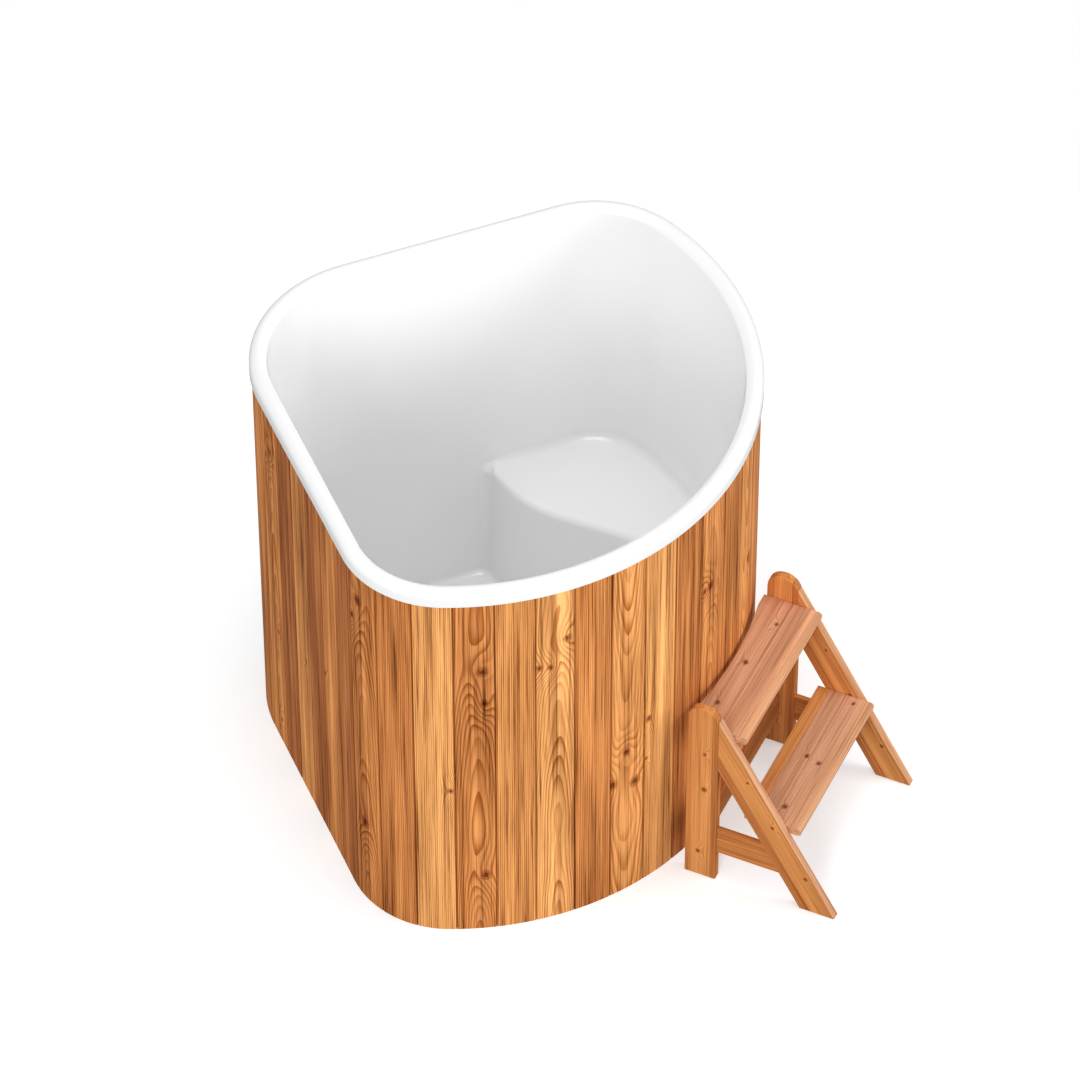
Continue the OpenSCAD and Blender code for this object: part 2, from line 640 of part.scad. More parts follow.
// Stool, in its own frame: x across, y = 0 at the posts' rear edges and -Y to the front
stool_y = -front_r - stool_off;
module on_stool() translate([stool_shift, stool_y, 0]) rotate(stool_turn) children();
module side_plank(x, t, points) translate([x, 0, 0]) rotate([90, 0, 90]) linear_extrude(t) polygon(points);
inner_w = stool_w - 2 * plank_t;
post_top_r = plank_w / 2;
post_c = [-plank_w / 2, post_h - post_top_r];
// The post's round top runs on into the leg's front edge
top_run = post_c + post_top_r * [-cos(leg_a), sin(leg_a)];
leg_top_z = top_run[1] - (plank_w + top_run[0]) / tan(leg_a);
post_profile = concat(
    [[0, 0]],
    [for (i = [0 : 16]) post_c + polar(post_top_r, i * (180 - leg_a) / 16)],
    [[-plank_w, leg_top_z], [-plank_w, 0]]
);
function leg_front_y(z) = -plank_w - (leg_top_z - z) * tan(leg_a);
function leg_rear_y(z) = leg_front_y(z) + plank_w / cos(leg_a);
leg_profile = [
    [-plank_w, leg_top_z], [leg_front_y(0), 0], [leg_rear_y(0), 0],
    [-plank_w, leg_top_z - plank_w / sin(leg_a)]
];
rail_top = rail_z + plank_w;
rail_profile = [
    [-plank_w, rail_z], [leg_rear_y(rail_z), rail_z], [leg_rear_y(rail_top), rail_top], [-plank_w, rail_top]
];
module stool_side(profile, t, left) color(stool_wood) on_stool() difference() {
    side_plank(left ? -stool_w / 2 + (plank_t - t) / 2 : stool_w / 2 - (plank_t + t) / 2, t, profile);
    if (t == plank_t) all_screws();
}
module left_post() stool_side(post_profile, plank_t, true);
module right_post() stool_side(post_profile, plank_t, false);
module left_leg() stool_side(leg_profile, plank_t, true);
module right_leg() stool_side(leg_profile, plank_t, false);
module left_rail() stool_side(rail_profile, rail_t, true);
module right_rail() stool_side(rail_profile, rail_t, false);
stretcher_y = -plank_w / 4;
module rear_stretcher() color(stool_wood) on_stool()
    translate([-inner_w / 2, stretcher_y - plank_t, rail_z]) cube([inner_w, plank_t, plank_w]);

// Treads: each is two boards, the front one with a rounded nose
function tread_front(z) = leg_front_y(z) - tread_nosing;
function board_profile(y0, y1, z, r) = concat(
    [[y1, z - tread_t], [y1, z]],
    r > 0 ? [for (i = [0 : 6]) [y0 + r, z - r] + polar(r, 90 + 15 * i)] : [[y0, z]],
    r > 0 ? [for (i = [0 : 6]) [y0 + r, z - tread_t + r] + polar(r, 180 + 15 * i)] : [[y0, z - tread_t]]
);
module tread_board(y0, y1, z, r) color(stool_wood) on_stool()
    side_plank(-inner_w / 2, inner_w, board_profile(y0, y1, z, r));
upper_front = tread_front(upper_tread_z);
lower_front = tread_front(lower_tread_z);
hollow_ends = 6;
module upper_tread_front()
    tread_board(upper_front, upper_front + tread_board_w, upper_tread_z, tread_round);
module upper_tread_rear() color(stool_wood) difference() {
    tread_board(upper_front + tread_board_w, hollow_ends, upper_tread_z, 0);
    on_stool() translate([0, hollow_r - hollow_gap, upper_tread_z - 2 * tread_t])
        cylinder(r = hollow_r, h = 3 * tread_t, $fn = 360);
}
module lower_tread_front()
    tread_board(lower_front, lower_front + tread_board_w, lower_tread_z, tread_round);
module lower_tread_rear()
    tread_board(lower_front + tread_board_w, lower_rear, lower_tread_z, 0);

// Cleats under the treads, screwed to the insides of the posts and legs
cleat_in = 12;
lower_rear = lower_front + 2 * tread_board_w;
cleats = [
    [leg_front_y(upper_tread_z - tread_t - cleat_h) + cleat_in, -cleat_in, upper_tread_z],
    [leg_front_y(lower_tread_z - tread_t) + cleat_in, lower_rear - cleat_in / 2, lower_tread_z]
];
module cleat_side(x) for (c = cleats)
    translate([x, c[0], c[2] - tread_t - cleat_h]) cube([cleat_t, c[1] - c[0], cleat_h]);
module screw_at(x, y, z, way) translate([x, y, z]) rotate([0, 90 * way, 0]) {
    cylinder(r1 = 2 * screw_r, r2 = screw_r, h = screw_r);
    cylinder(r = screw_r, h = cleat_t + plank_t / 2);
}
function screw_z(c) = c[2] - tread_t - cleat_h / 2;
function rear_screw_y(c) = c[2] == upper_tread_z ? -plank_w / 2 : leg_rear_y(screw_z(c)) - cleat_in;
module all_screws() for (c = cleats) for (y = [c[0] + plank_w / 4, rear_screw_y(c)]) for (way = [-1, 1])
    screw_at(way * (inner_w / 2 - cleat_t), y, screw_z(c), way);
module tread_cleats() color("#b97a42") difference() {
    on_stool() for (x = [-inner_w / 2, inner_w / 2 - cleat_t]) cleat_side(x);
    on_stool() all_screws();
}
module cleat_screws() color(steel) on_stool() all_screws();

liner();
front_staves();
left_side_staves();
right_side_staves();
left_wall_staves();
right_wall_staves();
rear_corner_staves();
cap_ring();
top_hoop();
middle_hoop();
bottom_hoop();
upper_insulation();
lower_insulation();
deck();
joists();
left_seat_trestle();
right_seat_trestle();
drain_flange();
drain_gasket();
drain_locknut();
drain_elbow();
drain_pipe();
wall_rosette();
valve_body();
valve_seats();
hose_spigot();
valve_ball();
valve_stem();
valve_lever();
lever_grip();
lever_nut();
left_post();
right_post();
left_leg();
right_leg();
left_rail();
right_rail();
rear_stretcher();
upper_tread_rear();
upper_tread_front();
lower_tread_rear();
lower_tread_front();
tread_cleats();
cleat_screws();
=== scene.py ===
# Corner hot tub: timber boards, a moulded liner and a step stool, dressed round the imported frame.
import math
import random

import bpy
import numpy as np
from mathutils import Matrix, Vector


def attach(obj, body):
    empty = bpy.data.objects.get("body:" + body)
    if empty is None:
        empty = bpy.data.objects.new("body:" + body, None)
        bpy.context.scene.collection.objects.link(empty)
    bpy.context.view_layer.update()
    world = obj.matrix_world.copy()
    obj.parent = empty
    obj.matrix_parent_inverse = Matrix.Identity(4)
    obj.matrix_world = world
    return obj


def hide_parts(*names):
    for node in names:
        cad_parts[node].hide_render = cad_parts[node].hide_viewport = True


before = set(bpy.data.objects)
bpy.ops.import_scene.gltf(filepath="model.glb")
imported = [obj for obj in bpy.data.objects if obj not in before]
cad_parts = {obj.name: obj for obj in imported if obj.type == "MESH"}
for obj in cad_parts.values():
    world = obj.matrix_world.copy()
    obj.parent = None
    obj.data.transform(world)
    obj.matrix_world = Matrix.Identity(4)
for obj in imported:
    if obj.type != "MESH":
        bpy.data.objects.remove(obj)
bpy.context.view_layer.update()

# Sizes of the tub's plan, in metres, as in the CAD source
FRONT_R, SIDE_R, CORNER_R, REAR_REACH = 0.661, 0.225, 0.295, 0.429
STAVE_H, STAVE_T, STAVE_COVER, FIRST_JOINT = 1.012, 0.018, 0.0864, 0.018
JOINT_GAP, STAVE_BEVEL, TONGUE_L, TONGUE_T = 0.001, 0.002, 0.006, 0.005
GROOVE_PLAY = 0.0003
SHELL_T, RIM_W, RIM_RISE, RIM_ROUND, RIM_DROP, RIM_OVER = 0.006, 0.038, 0.024, 0.018, 0.012, 0.005
WALL_DRAFT, COVE_R, FOOT_R, NOSE_R, RISER_DRAFT = math.radians(4.7), 0.020, 0.012, 0.015, math.radians(3)
SEAT_H, FOOTWELL_W, SEAT_FALL = 0.400, 0.540, 0.002
SWING_REAR, SWING_FRONT, SWING_R, SEAT_END = -0.140, -0.360, 0.250, math.radians(31.7)
CORNER_FILLET = 0.030
DECK_TOP, CAP_RING_T, FIT, SKIRT_GAP = 0.085, 0.011, 0.0003, 0.001
PIPE_Z, PIPE_R, PIPE_PLAY = 0.044, 0.016, 0.001

# What follows from them
apex_y = REAR_REACH + CORNER_R * (math.sqrt(2) - 1)
side_sum = apex_y - SIDE_R * math.sqrt(2)
side_y = (side_sum - math.sqrt(2 * (FRONT_R - SIDE_R) ** 2 - side_sum ** 2)) / 2
side_x = side_sum - side_y
side_a = math.atan2(side_y, side_x)
front_l = FRONT_R * (math.pi / 2 + side_a)
wall_s = front_l + SIDE_R * (math.pi / 4 - side_a)
corner_s = wall_s + math.sqrt(2) * side_x + SIDE_R - CORNER_R
half_l = corner_s + CORNER_R * math.pi / 4
round_l = 2 * half_l
stave_n = round(round_l / STAVE_COVER)
pitch = round_l / stave_n
floor_z = DECK_TOP + SHELL_T
shoulder_z = STAVE_H + RIM_RISE - RIM_ROUND
rim_inner_d = RIM_W - RIM_OVER


def outline(s, d):
    """Points of the plan: s is the distance round from the front centre, d the depth in from the boards' face."""
    s, d = np.broadcast_arrays(np.asarray(s, float), np.asarray(d, float))
    w = np.mod(s, round_l)
    right = w <= half_l
    h = np.where(right, w, round_l - w)
    part = [h < front_l, h < wall_s, h < corner_s]
    along = (h - wall_s) / math.sqrt(2)
    turn = np.select(part, [h / FRONT_R - math.pi / 2, side_a + (h - front_l) / SIDE_R, math.pi / 4 + 0 * h],
                     math.pi / 4 + (h - corner_s) / CORNER_R)
    r = np.select(part, [FRONT_R - d, SIDE_R - d, SIDE_R - d], CORNER_R - d)
    x = np.select(part, [0 * h, side_x + 0 * h, side_x - along], 0) + r * np.cos(turn)
    y = np.select(part, [0 * h, side_y + 0 * h, side_y + along], REAR_REACH - CORNER_R) + r * np.sin(turn)
    return np.stack([np.where(right, x, -x), y], -1)


def wall_d(z):
    """Depth of the liner's wall at a height."""
    return rim_inner_d + (shoulder_z - z) * math.tan(WALL_DRAFT)


def arc(start, end, n):
    """Angles in radians from start to end degrees, in n steps."""
    return np.radians(np.linspace(start, end, n + 1))


# ---- Meshes ----

def new_object(name, data):
    """An object in the scene, made from its data."""
    thing = bpy.data.objects.new(name, data)
    bpy.context.collection.objects.link(thing)
    return thing


def mesh_piece(name, points, faces):
    """A closed mesh with its faces pointing outwards."""
    points = np.asarray(points, float)
    mesh = bpy.data.meshes.new(name)
    mesh.from_pydata(points.tolist(), [], faces)
    mesh.update()
    mesh.calc_loop_triangles()
    corners = np.array([t.vertices[:] for t in mesh.loop_triangles])
    a, b, c = (points[corners[:, k]] for k in range(3))
    if (a * np.cross(b, c)).sum() < 0:
        mesh.flip_normals()
    return new_object(name, mesh)


def paint(piece, name, values):
    """Keeps one number or three numbers at each point of a piece, for its material to read."""
    values = np.asarray(values, float)
    kind = "FLOAT" if values.ndim == 1 else "FLOAT_VECTOR"
    layer = piece.data.attributes.new(name, kind, "POINT")
    layer.data.foreach_set("value" if kind == "FLOAT" else "vector", values.ravel())


def smooth(piece, angle):
    """Smooth shading, with sharp edges kept where faces meet at more than the angle."""
    piece.data.polygons.foreach_set("use_smooth", [True] * len(piece.data.polygons))
    piece.data.set_sharp_from_angle(angle=math.radians(angle))


def settle(piece):
    """Turns a piece's modifiers into its plain mesh."""
    graph = bpy.context.evaluated_depsgraph_get()
    mesh = bpy.data.meshes.new_from_object(piece.evaluated_get(graph), preserve_all_data_layers=True, depsgraph=graph)
    piece.modifiers.clear()
    piece.data = mesh
    mesh.name = piece.name


def dress(piece, material, body, slot, *nodes):
    """Gives a piece its material, its body and the CAD nodes that it stands for; the slot is not used."""
    piece.data.materials.clear()
    piece.data.materials.append(material)
    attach(piece, body)
    if nodes:
        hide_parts(*nodes)


# ---- Material wiring ----

def wire(tree, socket, value):
    """Feeds a socket from another socket or from a constant."""
    if isinstance(value, bpy.types.NodeSocket):
        tree.links.new(value, socket)
    else:
        socket.default_value = value


def add(tree, kind, inputs=(), **settings):
    """Adds a node with its settings, and feeds its inputs by name or by number."""
    node = tree.nodes.new(kind)
    for key, value in settings.items():
        setattr(node, key, value)
    for key, value in dict(inputs).items():
        wire(tree, node.inputs[key], value)
    return node


def reckon(tree, operation, *values):
    """One step of arithmetic on numbers."""
    return add(tree, "ShaderNodeMath", enumerate(values), operation=operation).outputs[0]


def times(tree, a, b):
    """Two numbers multiplied."""
    return reckon(tree, "MULTIPLY", a, b)


def plus(tree, base, value, share):
    """A number with a share of another added to it."""
    return reckon(tree, "ADD", base, times(tree, value, share))


def reckon3(tree, operation, *values):
    """One step of arithmetic on vectors."""
    keys = [(3 if operation == "SCALE" and i == 1 else i, v) for i, v in enumerate(values)]
    return add(tree, "ShaderNodeVectorMath", keys, operation=operation).outputs[0]


def ease(tree, value, low, high, to_low=0.0, to_high=1.0):
    """A smooth step from one value to another as the input goes from low to high."""
    keys = {"Value": value, "From Min": low, "From Max": high, "To Min": to_low, "To Max": to_high}
    return add(tree, "ShaderNodeMapRange", keys, interpolation_type="SMOOTHSTEP").outputs[0]


def noise(tree, place, scale, detail=2.0, rough=0.5):
    """Noise from 0 to 1."""
    keys = {"Vector": place, "Scale": scale, "Detail": detail, "Roughness": rough}
    return add(tree, "ShaderNodeTexNoise", keys).outputs["Fac"]


def blend(tree, share, a, b):
    """Mixes two colours."""
    return add(tree, "ShaderNodeMix", {0: share, 6: a, 7: b}, data_type="RGBA").outputs[2]


def stretch(tree, place, x, y, z):
    """Scales a place along each axis."""
    return reckon3(tree, "MULTIPLY", place, (x, y, z))


def split(tree, vector):
    """A vector's three numbers."""
    return add(tree, "ShaderNodeSeparateXYZ", {0: vector}).outputs


def object_place(tree):
    """A point's place on its object."""
    return add(tree, "ShaderNodeTexCoord").outputs["Object"]


def new_material(name, **constants):
    """A material with its shader, and its constants set straight on the shader's sockets."""
    material = bpy.data.materials.new(name)
    material.use_nodes = True
    shader = material.node_tree.nodes["Principled BSDF"]
    for key, value in constants.items():
        shader.inputs[key.replace("_", " ")].default_value = value
    return material, material.node_tree, shader


def surface(tree, shader, colour, rough, height, depth):
    """Feeds a shader's colour and roughness, and its bump of a depth in metres."""
    bump = add(tree, "ShaderNodeBump", {"Height": height, "Strength": 1.0, "Distance": depth})
    for key, value in (("Base Color", colour), ("Roughness", rough), ("Normal", bump.outputs[0])):
        wire(tree, shader.inputs[key], value)


def open_group(name, kind, wants, gives):
    """A node group with named inputs and outputs, its two end nodes, and the identifiers of its sockets."""
    tree = bpy.data.node_groups.new(name, kind)
    identifiers = {}
    for way, sockets in (("INPUT", wants), ("OUTPUT", gives)):
        for key, sort in sockets.items():
            socket = tree.interface.new_socket(name=key, in_out=way, socket_type="NodeSocket" + sort)
            identifiers[key] = socket.identifier
    return tree, tree.nodes.new("NodeGroupInput"), tree.nodes.new("NodeGroupOutput"), identifiers


# ---- Timber ----

RING_W, KNOT_MIN = 0.0042, 0.0004
NO_KNOT = (9.0, 9.0, 0.0)
# Stains, from the palest board to the darkest, and two for the stool, whose pale one is partly a painted highlight on
# the front edges and nosings
STAINS = {
    "straw": (0.92, 0.43, 0.145), "honey": (0.80, 0.34, 0.108), "amber": (0.72, 0.28, 0.085),
    "copper": (0.64, 0.24, 0.072), "russet": (0.52, 0.18, 0.056),
    "rose": (0.72, 0.37, 0.215), "pale": (0.84, 0.45, 0.25),
}


def knot_group():
    """How a knot bends the rings round it, and where its dark core and its reddish edge lie."""
    tree, start, end, _ = open_group("Knot", "ShaderNodeTree", {"Grain": "Vector", "Knot": "Vector", "Wobble": "Float"},
                                     {"Swirl": "Float", "Core": "Float", "Edge": "Float"})
    grain, knot = split(tree, start.outputs["Grain"]), split(tree, start.outputs["Knot"])
    size = reckon(tree, "MAXIMUM", knot[2], KNOT_MIN)
    away = [reckon(tree, "DIVIDE", reckon(tree, "SUBTRACT", grain[k], knot[k]), size) for k in (0, 1)]
    across, along = (reckon(tree, "POWER", d, 2.0) for d in away)
    near = reckon(tree, "SQRT", plus(tree, across, along, 0.62))
    lumpy = plus(tree, near, start.outputs["Wobble"], 1.1)
    swirl = reckon(tree, "EXPONENT", times(tree, plus(tree, across, along, 0.14), -0.16))
    edge = reckon(tree, "ABSOLUTE", reckon(tree, "SUBTRACT", lumpy, 0.95))
    for key, value in (("Swirl", swirl), ("Core", ease(tree, lumpy, 1.0, 0.35)), ("Edge", ease(tree, edge, 0.5, 0.0))):
        wire(tree, end.inputs[key], value)
    return tree


def timber_group():
    """Timber with growth rings cut lengthwise: colour, roughness and height from a place along the grain."""
    wants = {"Grain": "Vector", "Tint": "Vector", "Heart": "Vector", "Seed": "Float", "Knot A": "Vector",
             "Knot B": "Vector", "Knot C": "Vector", "Contrast": "Float"}
    knots = knot_group()
    tree, start, end, _ = open_group("Timber", "ShaderNodeTree", wants,
                                     {"Colour": "Color", "Roughness": "Float", "Height": "Float"})
    grain, seed, contrast = (start.outputs[key] for key in ("Grain", "Seed", "Contrast"))
    apart = add(tree, "ShaderNodeCombineXYZ", {0: times(tree, seed, 17.3), 1: times(tree, seed, 5.9), 2: seed})

    def patch(across, along, detail=2.0, rough=0.5):
        place = reckon3(tree, "ADD", stretch(tree, grain, across, along, across), apart.outputs[0])
        return reckon(tree, "SUBTRACT", noise(tree, place, 1.0, detail, rough), 0.5)

    wobble = patch(260, 190)
    found = [add(tree, "ShaderNodeGroup", {"Grain": grain, "Knot": start.outputs["Knot " + letter], "Wobble": wobble},
                 node_tree=knots).outputs for letter in "ABC"]
    swirl, core, edge = (reckon(tree, how, reckon(tree, how, found[0][k], found[1][k]), found[2][k])
                         for k, how in enumerate(["ADD", "MAXIMUM", "MAXIMUM"]))

    # Heart holds the pith's offset across, its depth below the face, and how fast that depth changes
    place, heart = split(tree, grain), split(tree, start.outputs["Heart"])
    across = plus(tree, reckon(tree, "SUBTRACT", place[0], heart[0]), patch(5, 1.3), 0.012)
    depth = plus(tree, plus(tree, heart[1], place[1], heart[2]), patch(3, 2.2), 0.030)
    depth = reckon(tree, "ADD", depth, place[2])
    radius = reckon(tree, "SQRT", reckon(tree, "ADD", reckon(tree, "POWER", across, 2.0),
                                         reckon(tree, "POWER", depth, 2.0)))
    radius = plus(tree, radius, patch(55, 7), 0.0016)
    rings = plus(tree, reckon(tree, "DIVIDE", radius, RING_W), swirl, 3.2)
    step = reckon(tree, "FRACT", rings)
    late = times(tree, reckon(tree, "POWER", ease(tree, step, 0.15, 0.94), 1.5), ease(tree, step, 1.0, 0.94))
    year = add(tree, "ShaderNodeTexWhiteNoise", {"W": reckon(tree, "ADD", reckon(tree, "FLOOR", rings), seed)},
               noise_dimensions="1D").outputs["Value"]
    late = times(tree, times(tree, late, ease(tree, year, -0.2, 1.0, 0.25)), contrast)

    fibre, streak = patch(900, 11, 3.0, 0.6), patch(70, 1.6, 3.0, 0.55)
    cloud, line = patch(24, 1.5), patch(240, 2.6, 4.0, 0.65)
    light = plus(tree, plus(tree, plus(tree, 0.26, fibre, 0.45), streak, 1.60), cloud, 0.95)
    light = reckon(tree, "SUBTRACT", light, times(tree, ease(tree, line, -0.02, 0.15), 0.58))
    light = reckon(tree, "MAXIMUM", plus(tree, 0.86, light, contrast), 0.08)
    warm = add(tree, "ShaderNodeCombineXYZ", {0: light, 1: reckon(tree, "POWER", light, 1.22),
                                              2: reckon(tree, "POWER", light, 1.4)})
    colour = early = reckon3(tree, "MULTIPLY", start.outputs["Tint"], warm.outputs[0])
    for share, dye in ((late, (0.52, 0.36, 0.22)), (times(tree, edge, 0.75), (0.55, 0.34, 0.22)),
                       (times(tree, core, 0.92), (0.17, 0.10, 0.10))):
        colour = blend(tree, share, colour, reckon3(tree, "MULTIPLY", early, dye))
    height = reckon(tree, "SUBTRACT", times(tree, fibre, 0.5), times(tree, late, 0.35))
    wire(tree, end.inputs["Colour"], colour)
    wire(tree, end.inputs["Roughness"], plus(tree, plus(tree, 0.55, late, 0.10), fibre, 0.16))
    wire(tree, end.inputs["Height"], plus(tree, height, core, 0.3))
    return tree


timber = timber_group()


def painted_timber(name, contrast):
    """Timber that reads each plank's own grain, tint, heart, seed and knots."""
    material, tree, shader = new_material(name, Specular_IOR_Level=0.02)
    looks = {"Contrast": contrast}
    for key in ("Grain", "Tint", "Heart", "Seed", "Knot A", "Knot B", "Knot C"):
        layer = add(tree, "ShaderNodeAttribute", attribute_name=key.lower().replace(" ", "_"))
        looks[key] = layer.outputs["Fac" if key == "Seed" else "Vector"]
    surface(tree, shader, *add(tree, "ShaderNodeGroup", looks, node_tree=timber).outputs, 0.0005)
    return material


def plain_timber(name, turn, tint, seed):
    """Timber for a CAD node: the grain runs along the axis that the turn lays on Y."""
    material, tree, shader = new_material(name)
    place = add(tree, "ShaderNodeMapping", {"Vector": object_place(tree), "Rotation": turn})
    looks = {"Grain": place.outputs[0], "Tint": tint, "Heart": (0.03, 0.05, 0.01), "Seed": seed, "Contrast": 0.8}
    looks.update({"Knot " + letter: NO_KNOT for letter in "ABC"})
    surface(tree, shader, *add(tree, "ShaderNodeGroup", looks, node_tree=timber).outputs, 0.0004)
    return material


def paint_looks(piece, tints, looks):
    """Gives each point of a piece its tint, and the heart, the seed and the three knots of its plank."""
    paint(piece, "tint", tints)
    for name, values in zip(("heart", "seed", "knot_a", "knot_b", "knot_c"), zip(*looks)):
        paint(piece, name, values)


def plank_looks(heart, seed, knots):
    """A plank's heart, seed and three knots, those that it lacks being out of its way."""
    return (heart, seed, *(list(knots) + [NO_KNOT] * 3)[:3])


# ---- Boards ----

# The second colour is painted shade for the bevels at the boards' joints, darker and redder than the face
PLAN_POINTS, PAINTED_JOINT_SHADE = 6000, (0.68, 0.58, 0.50)
NEAR_BEVEL, NEAR_HOLE = 0.00002, 0.0002


def stave_profile():
    """A board's cross-section: distance round from its left joint, and depth in from its face."""
    s0, s1 = JOINT_GAP / 2, pitch - JOINT_GAP / 2
    tongue0 = (STAVE_T - TONGUE_T) / 2
    tongue1 = tongue0 + TONGUE_T
    groove = s0 + TONGUE_L + JOINT_GAP + GROOVE_PLAY
    bevel = [(STAVE_BEVEL * (1 - math.sin(a)), STAVE_BEVEL * (1 - math.cos(a))) for a in arc(0, 90, 3)]
    left = [(s0 + x, y) for y, x in bevel]
    shares = [0.008, *np.linspace(0, 1, 9)[1:-1], 0.992]
    face = [(s0 + STAVE_BEVEL + (s1 - s0 - 2 * STAVE_BEVEL) * k, 0) for k in shares]
    right = [(s1 - x, y) for y, x in bevel[::-1]]
    back = [(s1 + (s0 - s1) * k / 8, STAVE_T) for k in range(9)]
    return left + face + right + [
        (s1, tongue0), (s1 + TONGUE_L, tongue0), (s1 + TONGUE_L, tongue1), (s1, tongue1)] + back + [
        (s0, tongue1 + GROOVE_PLAY), (groove, tongue1 + GROOVE_PLAY), (groove, tongue0 - GROOVE_PLAY),
        (s0, tongue0 - GROOVE_PLAY)]


def unrolled_board():
    """One board laid out flat: x across from its left joint, y the depth, z the height."""
    profile = stave_profile()
    levels = np.linspace(0, STAVE_H, 5)
    n = len(profile)
    points = [(x, y, z) for z in levels for x, y in profile]
    faces = [(k * n + i, k * n + (i + 1) % n, (k + 1) * n + (i + 1) % n, (k + 1) * n + i)
             for k in range(len(levels) - 1) for i in range(n)]
    faces += [tuple(range(n - 1, -1, -1)), tuple((len(levels) - 1) * n + i for i in range(n))]
    board = mesh_piece("Board", points, faces)
    paint(board, "grain", [(x - pitch / 2, z, y) for x, y, z in points])
    return board


def plan_curve():
    """The boards' outer outline as a closed curve that starts at the front centre."""
    curve = bpy.data.curves.new("Plan", "CURVE")
    curve.dimensions = "3D"
    line = curve.splines.new("POLY")
    places = outline(np.linspace(0, round_l, PLAN_POINTS + 1)[:-1], 0)
    line.points.add(len(places) - 1)
    line.points.foreach_set("co", np.column_stack([places, 0 * places[:, 0], 1 + 0 * places[:, 0]]).ravel())
    line.use_cyclic_u = True
    return new_object("Plan", curve)


def board_tree():
    """Geometry Nodes that stand boards side by side and bend them round the plan."""
    wants = {"Board": "Geometry", "Plan": "Object", "First joint": "Float", "Board cover": "Float",
             "First board": "Int", "Boards": "Int", "Finish": "Material"}
    tree, start, end, identifiers = open_group("Boards round the tub", "GeometryNodeTree", wants,
                                               {"Cladding": "Geometry"})
    number = reckon(tree, "ADD", add(tree, "GeometryNodeInputIndex").outputs[0], start.outputs["First board"])
    joint = plus(tree, start.outputs["First joint"], number, start.outputs["Board cover"])
    spots = add(tree, "GeometryNodePoints", {"Count": start.outputs["Boards"],
                                             "Position": add(tree, "ShaderNodeCombineXYZ", {0: joint}).outputs[0]})
    row = add(tree, "GeometryNodeInstanceOnPoints", {"Points": spots.outputs[0], "Instance": start.outputs["Board"]})
    named = add(tree, "GeometryNodeStoreNamedAttribute", {"Geometry": row.outputs[0], "Name": "board",
                                                         "Value": number}, data_type="FLOAT", domain="INSTANCE")
    flat = add(tree, "GeometryNodeRealizeInstances", {0: named.outputs[0]})
    place = split(tree, add(tree, "GeometryNodeInputPosition").outputs[0])
    plan = add(tree, "GeometryNodeObjectInfo", {"Object": start.outputs["Plan"]})
    length = add(tree, "GeometryNodeCurveLength", {0: plan.outputs["Geometry"]})
    wrapped = reckon(tree, "FLOORED_MODULO", place[0], length.outputs[0])
    spot = add(tree, "GeometryNodeSampleCurve", {"Curves": plan.outputs["Geometry"], "Length": wrapped},
               mode="LENGTH")
    outward = reckon3(tree, "CROSS_PRODUCT", spot.outputs["Tangent"], (0, 0, 1))
    inward = reckon3(tree, "SCALE", outward, times(tree, place[1], -1.0))
    height = add(tree, "ShaderNodeCombineXYZ", {2: place[2]})
    bent = reckon3(tree, "ADD", reckon3(tree, "ADD", spot.outputs["Position"], inward), height.outputs[0])
    moved = add(tree, "GeometryNodeSetPosition", {"Geometry": flat.outputs[0], "Position": bent})
    done = add(tree, "GeometryNodeSetMaterial", {"Geometry": moved.outputs[0], "Material": start.outputs["Finish"]})
    wire(tree, end.inputs[0], done.outputs[0])
    return tree, identifiers


# The boards that the photograph shows, numbered from the front centre, by stain and figure
SHOWN_BOARDS = {number: look for look, numbers in {
    ("straw", "straight"): (-10, -4), ("straw", "arch up"): (-7,), ("honey", "straight"): (-16, -8),
    ("honey", "arch down"): (-5, 0), ("amber", "straight"): (-14, -6, -1, 1), ("amber", "arch up"): (-18, -9, -2),
    ("copper", "straight"): (-19, -11, -3, 3), ("copper", "arch up"): (-12, 2),
    ("russet", "straight"): (-17, -15, -13),
}.items() for number in numbers}
# Knots on them: across from the board's middle, height, size
SHOWN_KNOTS = {
    -18: [(0, 0.89, 0.008), (0.012, 0.35, 0.005), (0.010, 0.07, 0.005)],
    -16: [(0.015, 0.43, 0.005)],
    -14: [(-0.036, 0.51, 0.005)],
    -12: [(-0.012, 0.92, 0.012), (-0.036, 0.86, 0.008), (-0.007, 0.245, 0.012)],
    -10: [(0.034, 0.44, 0.006)],
    -9: [(0.017, 0.80, 0.011), (0.020, 0.705, 0.008), (0.020, 0.17, 0.011)],
    -7: [(0.026, 0.855, 0.008), (-0.036, 0.785, 0.007), (-0.011, 0.78, 0.006)],
    -5: [(-0.004, 0.435, 0.009), (-0.040, 0.35, 0.012), (0.019, 0.33, 0.012)],
    -4: [(-0.031, 0.50, 0.008), (-0.037, 0.38, 0.004)],
    -2: [(-0.011, 0.755, 0.010), (-0.033, 0.755, 0.007)],
    2: [(0.010, 0.60, 0.008)],
}


def figure(kind, chance):
    """Where a board's pith lies: offset across, depth, and how the depth changes with the height."""
    side = chance.choice([-1, 1])
    if kind == "straight":
        return (side * chance.uniform(0.09, 0.2), chance.uniform(0.01, 0.04), chance.uniform(-0.01, 0.01))
    slope = chance.uniform(0.045, 0.065)
    if kind == "arch down":
        return (chance.uniform(-0.008, 0.008), 0.085, -slope)
    return (chance.uniform(-0.008, 0.008), 0.018, slope)


